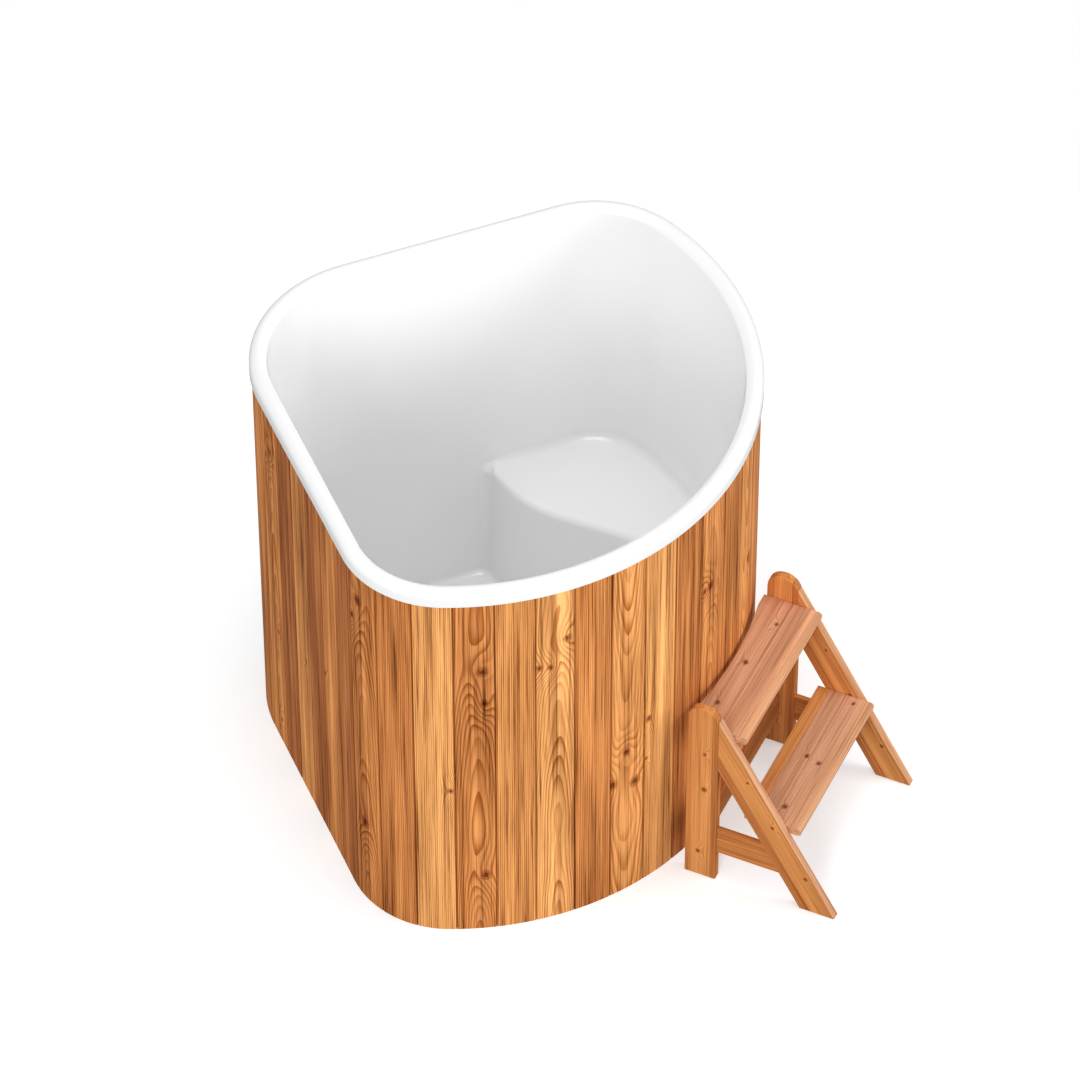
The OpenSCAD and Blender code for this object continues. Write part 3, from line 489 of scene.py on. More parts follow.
def board_looks(number):
    """One board's stain, and its heart, seed and knots."""
    chance = random.Random(900 + number % stave_n)
    kinds = ["straight", "straight", "straight", "arch up", "arch down"]
    stain, kind = SHOWN_BOARDS.get(number, (chance.choice(["copper", "amber", "honey", "amber", "russet"]),
                                            chance.choice(kinds)))
    knots = SHOWN_KNOTS.get(number)
    if knots is None:
        knots = [(chance.uniform(-0.03, 0.03), chance.uniform(0.08, 0.95), chance.uniform(0.004, 0.010))
                 for _ in range(chance.choice([0, 0, 1, 2]) if kind != "straight" else 0)]
    return STAINS[stain], plank_looks(figure(kind, chance), chance.uniform(0, 10), knots)


def paint_boards(piece):
    """Gives every board of a piece its own looks, from the board numbers that the nodes left on it."""
    numbers = np.zeros(len(piece.data.vertices), np.float32)
    piece.data.attributes["board"].data.foreach_get("value", numbers)
    numbers = np.rint(numbers).astype(int)
    looks = {k: board_looks((k + stave_n // 2) % stave_n - stave_n // 2) for k in set(numbers.tolist())}
    grain = np.zeros(3 * len(numbers), np.float32)
    piece.data.attributes["grain"].data.foreach_get("vector", grain)
    # The bevels at each joint get painted shade, where the boards meet
    face_end = (pitch - JOINT_GAP) / 2 - STAVE_BEVEL
    shade = np.where((np.abs(grain[::3]) > face_end - NEAR_BEVEL)[:, None], PAINTED_JOINT_SHADE, 1.0)
    paint_looks(piece, np.array([looks[k][0] for k in numbers]) * shade, [looks[k][1] for k in numbers])


def cut_pipe_hole(piece):
    """The hole for the drain pipe, square to the middle of the board at the tub's widest place."""
    board = math.floor((front_l - SIDE_R * side_a - FIRST_JOINT) / pitch)
    angle = side_a + (FIRST_JOINT + (board + 0.5) * pitch - front_l) / SIDE_R
    hole_r = PIPE_R + PIPE_PLAY
    bpy.ops.mesh.primitive_cylinder_add(vertices=48, radius=hole_r, depth=2 * SIDE_R)
    cutter = bpy.context.object
    along = Vector((math.cos(angle), math.sin(angle), 0))
    cutter.matrix_world = Matrix.Translation(Vector((side_x, side_y, PIPE_Z)) + along * SIDE_R) @ \
        along.to_track_quat("Z", "Y").to_matrix().to_4x4()
    bpy.context.view_layer.update()
    cut = piece.modifiers.new("Pipe hole", "BOOLEAN")
    cut.object, cut.solver = cutter, "EXACT"
    settle(piece)
    bpy.data.objects.remove(cutter)

    # The hole's edge takes its own place in the board's grain
    mesh = piece.data
    away = np.array([v.co for v in mesh.vertices]) - (side_x, side_y, 0)
    rim = np.hypot(away[:, 1] * along.x - away[:, 0] * along.y, away[:, 2] - PIPE_Z) < hole_r + NEAR_HOLE
    for k in np.flatnonzero(rim):
        x, y, z = away[k]
        mesh.attributes["grain"].data[k].vector = ((math.atan2(y, x) - angle) * SIDE_R, z, SIDE_R - math.hypot(x, y))
        mesh.attributes["board"].data[k].value = board


def build_boards():
    """The six runs of boards."""
    finish = painted_timber("Oiled boards", 1.0)
    tree, names = board_tree()
    board, plan = unrolled_board(), plan_curve()
    runs = [("front_staves", -9, 18), ("left_side_staves", -12, 3), ("right_side_staves", 9, 3),
            ("left_wall_staves", -18, 6), ("right_wall_staves", 12, 6), ("rear_corner_staves", 18, 5)]
    for node, first, count in runs:
        piece = new_object("boards_" + node.replace("_staves", ""), board.data.copy())
        nodes = piece.modifiers.new("Boards", "NODES")
        nodes.node_group = tree
        values = {"Plan": plan, "First joint": FIRST_JOINT, "Board cover": pitch, "First board": first,
                  "Boards": count, "Finish": finish}
        for key, value in values.items():
            nodes[names[key]] = value
        settle(piece)
        if node == "right_side_staves":
            cut_pipe_hole(piece)
        paint_boards(piece)
        smooth(piece, 35)
        dress(piece, finish, "tub", "cladding", node)
    bpy.data.objects.remove(board)
    bpy.data.objects.remove(plan)


# ---- Liner ----

TIP_SPAN, TIP_REACH = 0.05, 0.09


def seat_edges():
    """The seat's depth in plan, and where its front edge starts and ends."""
    seat_d, edge_x = wall_d(SEAT_H), FOOTWELL_W / 2
    front_end = (FRONT_R - seat_d) * np.array([math.sin(SEAT_END), -math.cos(SEAT_END)])
    front_swing_r = (SWING_FRONT - front_end[1]) ** 2 / (2 * (front_end[0] - edge_x))
    wall_sum = apex_y - seat_d * math.sqrt(2)
    rear_y = SWING_REAR + SWING_R * (math.sqrt(1 + 2 * (wall_sum - edge_x - SWING_REAR) / SWING_R) - 1)
    return seat_d, edge_x, front_end, front_swing_r, rear_y


seat_d, edge_x, front_end, front_swing_r, rear_y = seat_edges()
seat_s0 = FRONT_R * SEAT_END
seat_s1 = wall_s + (rear_y + seat_d / math.sqrt(2) - outline(wall_s, 0)[1]) * math.sqrt(2)


def unit(v):
    """Vectors of length one."""
    return v / np.maximum(np.linalg.norm(v, axis=-1, keepdims=True), 1e-9)


def seat_front(y):
    """The seat's front edge in plan, and the way square to it from the footwell into the riser."""
    y = np.atleast_1d(y)
    rear, front = np.maximum(y - SWING_REAR, 0), np.maximum(SWING_FRONT - y, 0)
    slope = rear / SWING_R - front / front_swing_r
    edge = np.column_stack([edge_x + rear ** 2 / (2 * SWING_R) + front ** 2 / (2 * front_swing_r), y])
    return edge, unit(np.column_stack([1 + 0 * slope, -slope]))


def riser(y, inset):
    """A riser's line in plan, set in from the seat's front edge."""
    edge, into = seat_front(y)
    return edge - inset * into


def meet(inset, beyond, inside, outside):
    """Where a riser's line passes a wall."""
    for _ in range(40):
        middle = (inside + outside) / 2
        if beyond(riser(middle, inset)[0]):
            outside = middle
        else:
            inside = middle
    return middle


def foot_line(s, z, shift):
    """The footwell's outline at a height: the walls and the risers between them, rounded where they meet."""
    depth, inset = wall_d(z) + shift, (SEAT_H - z) * math.tan(RISER_DRAFT) + shift
    y0 = meet(inset, lambda p: np.hypot(*p) > FRONT_R - depth, SWING_FRONT, front_end[1] - NOSE_R)
    y1 = meet(inset, lambda p: p.sum() > apex_y - depth * math.sqrt(2), SWING_REAR, rear_y + NOSE_R)
    front, rear = riser(y0, inset)[0], riser(y1, inset)[0]
    s0 = FRONT_R * math.atan2(front[0], -front[1])
    s1 = wall_s + (rear - outline(wall_s, 0)) @ (-1, 1) / math.sqrt(2)
    walls = outline(np.interp(s, [0, seat_s0, seat_s1, corner_s, half_l], [0, s0, s1, corner_s, half_l]), depth)
    risers = riser(y0 + (y1 - y0) * (s - seat_s0) / (seat_s1 - seat_s0), inset)
    line = np.where(((s > seat_s0) & (s < seat_s1))[:, None], risers, walls)
    for corner in (seat_s0, seat_s1):
        a, b, c = (np.array([np.interp(corner + d, s, line[:, k]) for k in (0, 1)])
                   for d in (-CORNER_FILLET, 0, CORNER_FILLET))
        t = np.clip((s - corner) / (2 * CORNER_FILLET) + 0.5, 0, 1)[:, None]
        line = np.where((t > 0) & (t < 1), (1 - t) ** 2 * a + 2 * t * (1 - t) * b + t ** 2 * c, line)
    return line


def liner_stations():
    """Distances round the right half at which the liner is drawn, closest at the ends of the seat."""
    near = TIP_REACH * np.linspace(0, 1, 26) ** 1.6
    both = np.concatenate([-near[:0:-1], near])
    parts = [np.linspace(0, seat_s0 - 0.1, 30), seat_s0 + both, np.linspace(seat_s0 + 0.1, seat_s1 - 0.1, 150),
             seat_s1 + both, np.linspace(seat_s1 + 0.1, half_l, 46)]
    return np.concatenate(parts)


def liner_rows(s):
    """The liner's rows, from the rim's outer edge down to the floor and back up outside, for the stations s."""
    out = unit(outline(s, 0) - outline(s, 0.01))
    wall = outline(s, seat_d)
    has_seat = ((s > seat_s0 + 1e-5) & (s < seat_s1 - 1e-5))[:, None]
    front, into = seat_front(front_end[1] + (rear_y - front_end[1]) * (s - seat_s0) / (seat_s1 - seat_s0))
    edge = np.where(has_seat, front, wall)
    share = np.clip(np.linalg.norm(edge - wall, axis=1) / (COVE_R + NOSE_R + 0.005), 0, 1)[:, None]
    inward = np.where(has_seat, unit(edge - wall), -out)
    under = unit(out * (1 - share) + share * into)
    # One near a seat's tips, and nothing away from them
    tips = np.clip(1.8 - np.minimum(abs(s - seat_s0), abs(s - seat_s1)) / TIP_SPAN, 0, 1)[:, None]

    def at(place, z):
        return np.column_stack([place, np.full(len(place), z) if np.isscalar(z) else z])

    def seat_row(kind, z, shift, side=None, angle=0.0):
        drop = max(SEAT_H - z, 0) * math.tan(RISER_DRAFT)
        seat = wall + inward * shift * share if kind == "cove" else edge - inward * shift * share - under * drop
        line = outline(s, wall_d(z)) * (1 - share) + seat * share
        if kind == "nose":
            low = np.interp(z, [SEAT_H - SEAT_FALL - NOSE_R, SEAT_H - SEAT_FALL], [1, 0])
            line = line + tips * low * (foot_line(s, z, 0) - line)
        row = at(foot_line(s, z, shift) if kind == "foot" else line, z)
        if side is not None:
            turn = angle * (1 + 0 * share if kind == "foot" else share)
            row = row + SHELL_T * np.column_stack([side * np.cos(turn), -np.sin(turn)])
        return row

    def cove(kind, z, a, r=COVE_R, side=None):
        return seat_row(kind, z + r * (1 - math.sin(a)), r * (1 - math.cos(a)), side, a)

    def nose(a, side=None):
        return seat_row("nose", SEAT_H - SEAT_FALL - NOSE_R * (1 - math.sin(a)), NOSE_R * (1 - math.cos(a)), side, a)

    def between(a, b, shares):
        return [a * (1 - t) + b * t for t in shares]

    rim = [at(outline(s, -RIM_OVER), STAVE_H - RIM_DROP)]
    rim += [at(outline(s, RIM_W / 2 - RIM_OVER + RIM_W / 2 * math.cos(a)), shoulder_z + RIM_ROUND * math.sin(a))
            for a in arc(180, 0, 20)]
    walls = [at(outline(s, wall_d(z)), z) for z in np.linspace(shoulder_z - 0.004, SEAT_H + COVE_R + 0.004, 14)]
    coves = [cove("cove", SEAT_H, a) for a in arc(0, 90, 8)]
    noses = [nose(a) for a in arc(90, 0, 8)]
    feet = [cove("foot", floor_z, a, FOOT_R) for a in arc(0, 90, 8)]
    seen = rim + walls + coves + between(coves[-1], noses[0], [0.04, 0.35, 0.65, 0.96]) + noses
    seen += between(noses[-1], feet[0], [0.03, 0.5, 0.97]) + feet
    seen += between(feet[-1], np.array([0, side_y, floor_z]), [0.03, 0.4, 0.8])
    hidden = [cove("foot", floor_z, a, FOOT_R, under) for a in arc(90, 0, 2)]
    hidden += [nose(a, side=under) for a in arc(0, 90, 2)]
    hidden += [cove("cove", SEAT_H, a, side=out) for a in arc(90, 0, 2)]
    wall_z, ring_z = STAVE_H - 2 * RIM_DROP, STAVE_H + CAP_RING_T + FIT
    hidden += [at(outline(s, d), z) for d, z in ((wall_d(wall_z) - SHELL_T, wall_z), (rim_inner_d - SHELL_T, ring_z),
                                                 (-SKIRT_GAP, ring_z), (-SKIRT_GAP, STAVE_H - RIM_DROP))]
    return seen, hidden


def white_gelcoat():
    """Glossy white with a faint cloudiness."""
    material, tree, shader = new_material("White gelcoat", Specular_IOR_Level=0.5, Coat_Weight=0.3,
                                          Coat_Roughness=0.08)
    place = object_place(tree)
    colour = blend(tree, noise(tree, place, 3.0, 3.0), (0.95, 0.95, 0.95, 1), (0.97, 0.97, 0.97, 1))
    rough = ease(tree, noise(tree, place, 40.0), 0.3, 0.7, 0.09, 0.13)
    surface(tree, shader, colour, rough, noise(tree, place, 160.0), 0.00006)
    return material


def build_liner():
    """The moulded liner as one closed shell."""
    s = liner_stations()
    seen, hidden = liner_rows(s)
    rows = [np.concatenate([row, row[-2:0:-1] * [-1, 1, 1]]) for row in seen + hidden]
    n, m, last = len(rows[0]), len(rows), len(seen) - 1
    points = np.concatenate(rows + [[[0, side_y, floor_z], [0, side_y, floor_z - SHELL_T]]])

    def v(r, i):
        return (r % m) * n + i % n

    faces = [(v(r, i), v(r, i + 1), v(r + 1, i + 1), v(r + 1, i)) for r in range(m) if r != last for i in range(n)]
    faces += [(v(last, i), v(last, i + 1), m * n) for i in range(n)]
    faces += [(v(last + 1, i + 1), v(last + 1, i), m * n + 1) for i in range(n)]
    liner = mesh_piece("moulded_liner", points, faces)
    smooth(liner, 50)
    dress(liner, white_gelcoat(), "tub", "moulded_liner", "liner")


# ---- Stool ----

STOOL_W, STOOL_TURN, STOOL_SHIFT = 0.448, math.radians(-1.6), -0.030
PLANK_W, PLANK_T, POST_H, LEG_A = 0.072, 0.020, 0.521, math.radians(29.6)
RAIL_T, RAIL_Z, UPPER_Z, LOWER_Z = 0.012, 0.086, 0.453, 0.225
TREAD_BOARD, TREAD_T, NOSING, TREAD_ROUND = 0.066, 0.022, 0.0345, 0.009
HOLLOW_R, HOLLOW_GAP, HOLLOW_ENDS = 0.950, 0.0095, 0.006
CLEAT_H, CLEAT_T, CLEAT_IN, CLEAT_BACK = 0.030, 0.020, 0.012, 0.014
POST_GROOVES, LEG_GROOVE, RAIL_GROOVE, NOSE_GROOVE, REAR_GROOVE = [-0.058, -0.012], 0.048, 0.012, 0.024, 0.028
SEAM, GROOVE, FINE_GROOVE, EASING, FINE_EASING, RAIL_EASING = 0.0002, 0.0012, 0.0006, 0.0015, 0.0008, 0.0002
PLAIN_HEART = (0.10, 0.03, 0.02)
tan_a, cos_a, sin_a = math.tan(LEG_A), math.cos(LEG_A), math.sin(LEG_A)
post_top_r = PLANK_W / 2
post_c = np.array([-PLANK_W / 2, POST_H - post_top_r])
top_run = post_c + post_top_r * np.array([-cos_a, sin_a])
leg_top_z = top_run[1] - (PLANK_W + top_run[0]) / tan_a
inner_w = STOOL_W - 2 * PLANK_T


def leg_front(z):
    """Y of a leg's front edge at a height, in the stool's own frame."""
    return -PLANK_W - (leg_top_z - z) * tan_a


def on_stool(points):
    """From the stool's own frame to the tub's."""
    c, s = math.cos(STOOL_TURN), math.sin(STOOL_TURN)
    x, y, z = np.asarray(points, float).T
    return np.column_stack([c * x - s * y + STOOL_SHIFT, s * x + c * y - FRONT_R, z])


def leg_place(p, x0):
    """From a leg's own run (across, up the slope, through) to the stool's frame."""
    across, along, through = p.T
    y = leg_front(0) + across * cos_a + along * sin_a
    return np.column_stack([x0 + through, y, along * cos_a - across * sin_a])


def laid(order, x=0, y=0):
    """Lays a plank's own axes on the stool's in the order given, and shifts it."""
    return lambda p: p[:, order] + (x, y, 0)


def groove(u, at, depth=GROOVE):
    """How deep a narrow groove at a place cuts into a plank's face."""
    return depth * np.clip(1 - np.abs(u - at) / GROOVE, 0, 1)


def with_marks(low, high, marks, n=5):
    """Stations from low to high, with a few close ones round each groove."""
    close = [m + k * GROOVE for m in marks for k in (-1.02, -1, 0, 1, 1.02)]
    return np.union1d(np.linspace(low, high, n), close)


def plank(name, u, v0, v1, low, high, place, heart, seed, knots=(), stains=("amber",), bands=(), easing=EASING,
          grain=(0, 1, 2)):
    """A plank drawn over stations u: each runs from v0 to v1 along v, and from low to high through w."""
    stations = np.union1d(u, [u[0] + easing, u[-1] - easing])
    v0, v1, low, high = (np.interp(stations, u, np.broadcast_to(np.asarray(k, float), (len(u),)))
                         for k in (v0, v1, low, high))
    u, n = stations, len(stations)
    end = np.where((u == u[0]) | (u == u[-1]), easing, 0)
    a, b, c, d, e = v0 + end, v1 - end, low + end, high - end, easing - end
    spans = [(a + e, c), (a, c + e), (a, d - e), (a + e, d), (b - e, d), (b, d - e), (b, c + e), (b - e, c)]
    local = np.concatenate([np.column_stack([u, v, w]) for v, w in spans])
    m = len(spans)
    faces = [(k * n + i, k * n + i + 1, (k + 1) % m * n + i + 1, (k + 1) % m * n + i)
             for k in range(m) for i in range(n - 1)]
    faces += [tuple(k * n for k in range(m)), tuple(k * n + n - 1 for k in range(m))[::-1]]
    piece = mesh_piece(name, on_stool(place(local)), faces)
    tints = np.array([STAINS[k] for k in stains])[np.searchsorted(bands, local[:, 0])]
    paint(piece, "grain", local[:, grain])
    paint_looks(piece, tints, [plank_looks(heart, seed, knots)] * len(local))
    smooth(piece, 30)
    return piece


def build_stool():
    """The two-step stool, plank by plank."""
    wood = painted_timber("Stool timber", 0.5)
    half = inner_w / 2 - SEAM

    def fit(node, *shape, **looks):
        dress(plank(*shape, **looks), wood, "stool", "stool_wood", node)

    for side, name in ((-1, "left"), (1, "right")):
        x0 = side * (STOOL_W / 2 - PLANK_T / 2)

        # Posts: u is y, v is z, w is x
        u = np.union1d(with_marks(-PLANK_W, 0, POST_GROOVES, 37), [top_run[0]])
        top = post_c[1] + np.sqrt(np.maximum(post_top_r ** 2 - (u - post_c[0]) ** 2, 0))
        top = np.where(u < top_run[0], top_run[1] - (top_run[0] - u) / tan_a, top)
        face = PLANK_T / 2 - sum(groove(u, m, FINE_GROOVE) for m in POST_GROOVES)
        fit(name + "_post", name + "_post_plank", u, 0, top, -face, face, laid([2, 0, 1], x0),
            (0.10, 0.02, 0.004), 3.1 + side, [(-0.042, 0.385, 0.004), (-0.042, 0.275, 0.006), (-0.030, 0.075, 0.0045)],
            ["copper", "honey", "copper"], POST_GROOVES)

        # Legs: u is the distance from the front edge, v runs up the slope, w is x
        u = with_marks(0, PLANK_W, [LEG_GROOVE])
        foot, length = u * tan_a, (-PLANK_W - leg_front(0) - u / cos_a) / sin_a
        face = PLANK_T / 2 - groove(u, LEG_GROOVE)
        # The pale band on the narrow front edge is partly the edge's own paler colour and partly a painted highlight
        fit(name + "_leg", name + "_leg_plank", u, foot, foot + length, -face, face, lambda p: leg_place(p, x0),
            (0.12, 0.03, 0.006), 5.7 + side, [(0.016, 0.40, 0.003), (0.020, 0.27, 0.004), (0.014, 0.12, 0.004)],
            ["pale", "honey", "copper"], [0.0008, LEG_GROOVE])

        # Rails: u is z, v is y, w is x
        mark = RAIL_Z + PLANK_W - RAIL_GROOVE
        u = with_marks(RAIL_Z, RAIL_Z + PLANK_W, [mark])
        face = RAIL_T / 2 - groove(u, mark)
        fit(name + "_rail", name + "_rail_plank", u, leg_front(u) + PLANK_W / cos_a + SEAM, -PLANK_W - SEAM,
            -face, face, laid([2, 1, 0], x0), PLAIN_HEART, 8.2 + side, easing=RAIL_EASING)

    # Rear stretcher: u is z, v is x, w is y
    u = np.linspace(RAIL_Z, RAIL_Z + PLANK_W, 4)
    fit("rear_stretcher", "rear_stretcher_plank", u, -half, half, -PLANK_T / 2, PLANK_T / 2,
        laid([1, 2, 0], y=-PLANK_W / 4 - PLANK_T / 2), PLAIN_HEART, 1.4)

    # Cleats: u is z, v is y, w is x, and the lower ones are cut back along the legs' rear edges
    cleats = []
    for z in (UPPER_Z, LOWER_Z):
        top, foot = z - TREAD_T, z - TREAD_T - CLEAT_H
        u = np.linspace(foot, top - SEAM, 4)
        front, rear = leg_front(foot) + CLEAT_IN, -CLEAT_IN
        if z == LOWER_Z:
            front, rear = leg_front(top) + CLEAT_IN, leg_front(z) - NOSING + 2 * TREAD_BOARD - CLEAT_IN / 2
            rear = np.minimum(rear, leg_front(u) + PLANK_W / cos_a - CLEAT_BACK)
        for side in (-1, 1):
            cleats.append(plank("Cleats", u, front, rear, -CLEAT_T / 2, CLEAT_T / 2,
                                laid([2, 1, 0], side * (inner_w / 2 - CLEAT_T / 2 - SEAM)),
                                PLAIN_HEART, 4.6 + z + side, easing=FINE_EASING))
    with bpy.context.temp_override(active_object=cleats[0], selected_editable_objects=cleats):
        bpy.ops.object.join()
    dress(cleats[0], wood, "stool", "stool_wood", "tread_cleats")

    # Treads: u is y, except for the hollowed rear board, where u is x
    for level, z in (("upper", UPPER_Z), ("lower", LOWER_Z)):
        front = leg_front(z) - NOSING
        start, end = front + TREAD_BOARD + 2 * SEAM, front + 2 * TREAD_BOARD
        mark = front + NOSE_GROOVE
        u = np.concatenate([front + TREAD_ROUND * (1 - np.cos(arc(0, 90, 8))),
                            with_marks(front + 0.012, front + TREAD_BOARD, [mark])])
        dip = TREAD_ROUND - np.sqrt(np.maximum(TREAD_ROUND ** 2 - np.maximum(front + TREAD_ROUND - u, 0) ** 2, 0))
        knots = [(front + 0.041, -0.010, 0.005), (front + 0.058, -0.155, 0.006), (front + 0.041, 0.184, 0.004)]
        # The pale strip from the nose back to the groove is a painted highlight along the rounded nosing
        fit(level + "_tread_front", level + "_tread_nose", u, -half, half, z - TREAD_T + dip,
            z - dip - groove(u, mark, FINE_GROOVE), laid([1, 0, 2]), (front - 0.09, 0.03 - z, 0.02), 2.6 + z,
            knots if level == "lower" else [], ["pale", "rose"], [mark], FINE_EASING)

        heart, seed = (start - 0.06, 0.03 - z, -0.02), 6.1 + z
        if level == "upper":
            u = np.linspace(-half, half, 61)
            end = np.minimum(HOLLOW_ENDS, HOLLOW_R - HOLLOW_GAP - np.sqrt(HOLLOW_R ** 2 - u ** 2))
            knots = [(front + 0.092, 0.0, 0.006), (front + 0.076, 0.131, 0.004), (front + 0.100, -0.132, 0.005)]
            fit("upper_tread_rear", "upper_tread_rear_board", u, start, end, z - TREAD_T, z, laid([0, 1, 2]),
                heart, seed, knots, ["rose"], easing=FINE_EASING, grain=(1, 0, 2))
        else:
            mark = end - REAR_GROOVE
            u = with_marks(start, end, [mark])
            fit("lower_tread_rear", "lower_tread_rear_board", u, -half, half, z - TREAD_T,
                z - groove(u, mark, FINE_GROOVE), laid([1, 0, 2]), heart, seed, [(front + 0.072, 0.0, 0.005)],
                ["rose", "honey"], [mark], FINE_EASING)


# ---- Finishes of the CAD nodes ----

def shade(colour, share):
    """A colour made darker or paler."""
    return tuple(min(1, c * share) for c in colour) + (1,)


def brushed_metal(name, colour, rough, scale):
    """Metal with fine brushing."""
    material, tree, shader = new_material(name, Metallic=1.0)
    lines = noise(tree, stretch(tree, object_place(tree), scale, scale, scale / 12), 1.0, 3.0, 0.6)
    surface(tree, shader, blend(tree, lines, shade(colour, 0.86), shade(colour, 1.12)),
            ease(tree, lines, 0.2, 0.8, rough - 0.08, rough + 0.08), lines, 0.00004)
    return material


def moulded_plastic(name, colour, rough, grain=260.0, depth=0.00008):
    """Plastic or rubber with a fine moulded grain."""
    material, tree, shader = new_material(name)
    place = object_place(tree)
    fine, cloud = noise(tree, place, grain), noise(tree, place, 22.0)
    surface(tree, shader, blend(tree, cloud, shade(colour, 0.92), shade(colour, 1.06)),
            ease(tree, fine, 0.3, 0.7, rough - 0.05, rough + 0.07), fine, depth)
    return material


def layered_plywood(name):
    """Plywood: plies show as bands up the edges, and the faces have a rotary-cut figure."""
    material, tree, shader = new_material(name)
    place = object_place(tree)
    band = ease(tree, reckon(tree, "FRACT", times(tree, split(tree, place)[2], 160.0)), 0.42, 0.58)
    bend = add(tree, "ShaderNodeTexNoise", {"Vector": place, "Scale": 2.0}).outputs["Color"]
    place = reckon3(tree, "ADD", stretch(tree, place, 3.0, 16.0, 16.0), reckon3(tree, "SCALE", bend, 1.5))
    veneer = noise(tree, place, 1.0, 4.0, 0.6)
    colour = blend(tree, band, (0.74, 0.54, 0.31, 1), (0.60, 0.40, 0.21, 1))
    colour = blend(tree, ease(tree, veneer, 0.3, 0.7), colour, (0.68, 0.47, 0.26, 1))
    surface(tree, shader, colour, ease(tree, veneer, 0.2, 0.8, 0.55, 0.75), veneer, 0.0002)
    return material


def cell_foam(name):
    """Rigid insulating foam with a fine cell structure."""
    material, tree, shader = new_material(name)
    place = object_place(tree)
    cells = add(tree, "ShaderNodeTexVoronoi", {"Vector": place, "Scale": 420.0}).outputs["Distance"]
    colour = blend(tree, noise(tree, place, 9.0, 3.0), (0.80, 0.74, 0.52, 1), (0.88, 0.84, 0.66, 1))
    surface(tree, shader, blend(tree, ease(tree, cells, 0.1, 0.6), colour, (0.72, 0.65, 0.42, 1)),
            ease(tree, cells, 0.0, 0.6, 0.78, 0.92), cells, 0.0004)
    return material


def finish_nodes():
    """Materials for the CAD nodes that stay in view or behind the boards."""
    wanted = [
        (brushed_metal("Brushed stainless", (0.62, 0.62, 0.61), 0.28, 900.0),
         "drain_flange wall_rosette valve_stem lever_nut cleat_screws"),
        (brushed_metal("Plated brass", (0.72, 0.70, 0.66), 0.16, 500.0), "valve_body hose_spigot valve_ball"),
        (brushed_metal("Lever steel", (0.56, 0.56, 0.57), 0.34, 700.0), "valve_lever"),
        (layered_plywood("Plywood"), "cap_ring top_hoop middle_hoop bottom_hoop deck "
                                     "left_seat_trestle right_seat_trestle"),
        (cell_foam("Insulating foam"), "upper_insulation lower_insulation"),
        (moulded_plastic("Grey pipe", (0.34, 0.35, 0.36), 0.42), "drain_elbow drain_pipe"),
        (moulded_plastic("White plastic", (0.80, 0.80, 0.78), 0.35), "valve_seats drain_locknut"),
        (moulded_plastic("Rubber", (0.035, 0.035, 0.036), 0.62, 500.0), "drain_gasket"),
        (moulded_plastic("Dipped sleeve", (0.42, 0.025, 0.02), 0.38, 180.0, 0.00015), "lever_grip"),
        (plain_timber("Joist timber", (0, 0, math.pi / 2), (0.66, 0.46, 0.25), 4.4), "joists"),
    ]
    for material, nodes in wanted:
        for node in nodes.split():
            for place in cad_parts[node].material_slots:
                place.material = material


# ---- Studio ----

WHITE, FLOOR, FLOOR_SEEN = (1, 1, 1, 1), (0.50, 0.52, 0.53, 1), (0.83, 0.88, 0.905, 1)
GLOW, SURROUND, FADE_FROM, FADE_TO = 0.37, 0.62, 1.3, 2.4


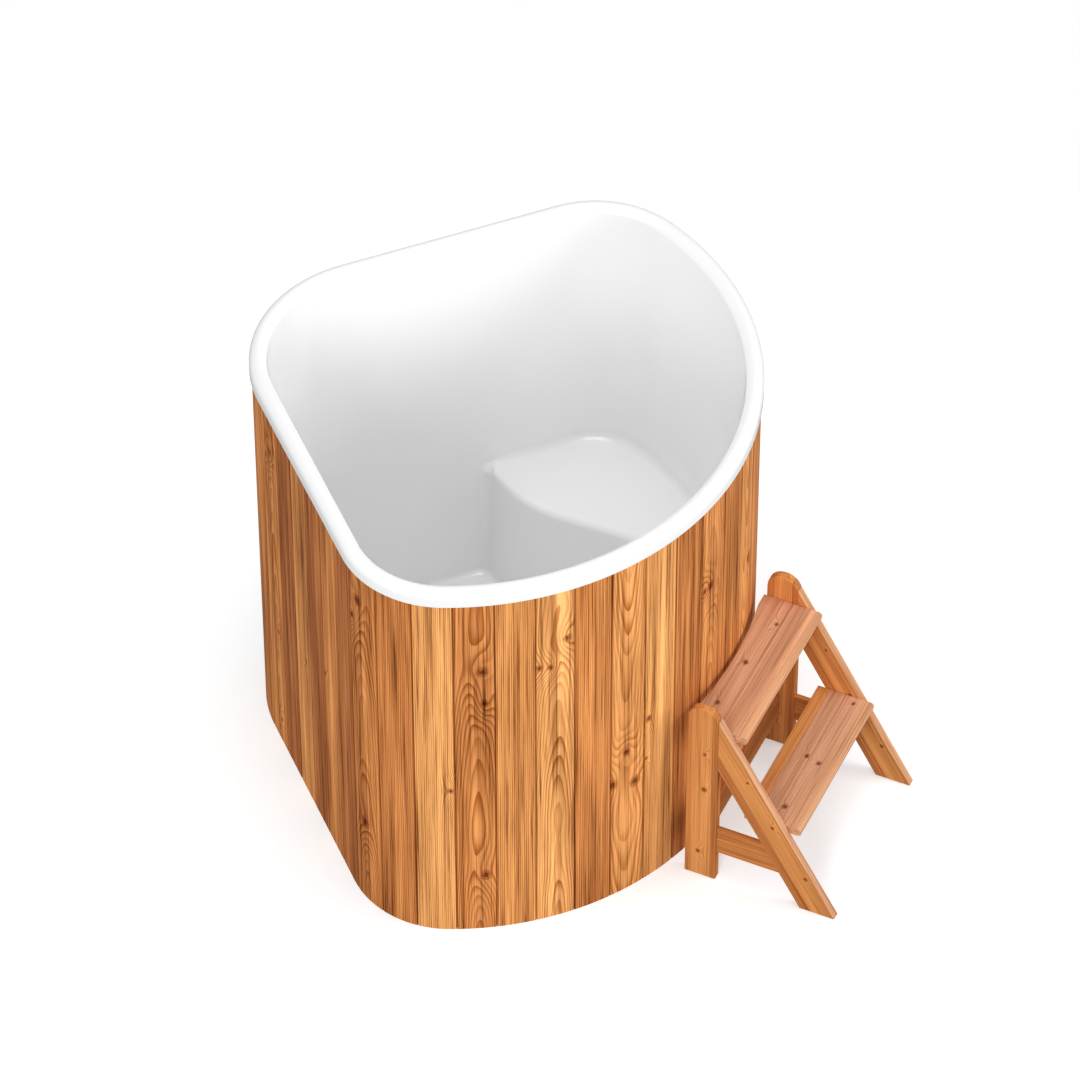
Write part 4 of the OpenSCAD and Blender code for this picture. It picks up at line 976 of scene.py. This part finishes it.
def build_studio():
    """A plain pale floor, a white surround and soft lamps."""
    bpy.ops.mesh.primitive_circle_add(vertices=96, radius=30, fill_type="NGON")
    ground = bpy.context.object
    ground.name = "Ground"
    material, tree, shader = new_material("Pale floor", Roughness=0.9, Specular_IOR_Level=0.0)
    camera_ray = add(tree, "ShaderNodeLightPath").outputs["Is Camera Ray"]
    wire(tree, shader.inputs["Base Color"], blend(tree, camera_ray, FLOOR, FLOOR_SEEN))
    away = add(tree, "ShaderNodeVectorMath", {0: object_place(tree)}, operation="LENGTH").outputs["Value"]
    glow = add(tree, "ShaderNodeEmission", {"Color": WHITE, "Strength": times(tree, camera_ray, GLOW)})
    lit = add(tree, "ShaderNodeAddShader", {0: shader.outputs[0], 1: glow.outputs[0]})
    white = add(tree, "ShaderNodeEmission", {"Color": WHITE, "Strength": 1.0})
    far = times(tree, ease(tree, away, FADE_FROM, FADE_TO), camera_ray)
    both = add(tree, "ShaderNodeMixShader", {0: far, 1: lit.outputs[0], 2: white.outputs[0]})
    wire(tree, tree.nodes["Material Output"].inputs["Surface"], both.outputs[0])
    ground.data.materials.append(material)

    world = bpy.data.worlds.new("Surround")
    bpy.context.scene.world = world
    world.use_nodes = True
    tree = world.node_tree
    tree.nodes.clear()
    path = add(tree, "ShaderNodeLightPath")
    seen = reckon(tree, "MAXIMUM", path.outputs["Is Camera Ray"], path.outputs["Is Transmission Ray"])
    sky = add(tree, "ShaderNodeBackground", {"Color": WHITE, "Strength": ease(tree, seen, 0.0, 1.0, SURROUND)})
    end = add(tree, "ShaderNodeOutputWorld")
    wire(tree, end.inputs["Surface"], sky.outputs[0])

    lamps = [("Key", (-5.6, -1.5, 2.9), (0, -0.1, 0.5), 2.4, 138), ("Fill", (1.2, -5.5, 2.9), (0, -0.3, 0.5), 2.4, 100),
             ("Overhead", (-0.2, -0.3, 5.5), (0, 0, 0.6), 2.0, 50)]
    for name, place, aim, size, power in lamps:
        data = bpy.data.lights.new(name, "AREA")
        data.shape, data.size, data.energy = "DISK", size, power
        light = new_object(name, data)
        light.location = place
        light.rotation_euler = (Vector(aim) - Vector(place)).to_track_quat("-Z", "Y").to_euler()


def build_camera():
    """The camera at the photograph's place and lens."""
    place, lens = (-9.16592, -4.11736, 10.73252), 220.77
    turn, tilt, roll = -1.1677, 0.7936, -0.0025
    ahead = Vector((-math.sin(turn) * math.cos(tilt), math.cos(turn) * math.cos(tilt), -math.sin(tilt)))
    level = Vector((math.cos(turn), math.sin(turn), 0))
    above = level.cross(ahead)
    right = level * math.cos(roll) + above * math.sin(roll)
    up = above * math.cos(roll) - level * math.sin(roll)
    data = bpy.data.cameras.new("Camera")
    data.lens, data.sensor_width, data.clip_end = lens, 36, 100
    camera = new_object("Camera", data)
    camera.matrix_world = Matrix.Translation(place) @ Matrix((right, up, -ahead)).transposed().to_4x4()
    bpy.context.scene.camera = camera
    bpy.context.scene.view_settings.view_transform = "Standard"


build_camera()
build_boards()
build_liner()
build_stool()
finish_nodes()
build_studio()
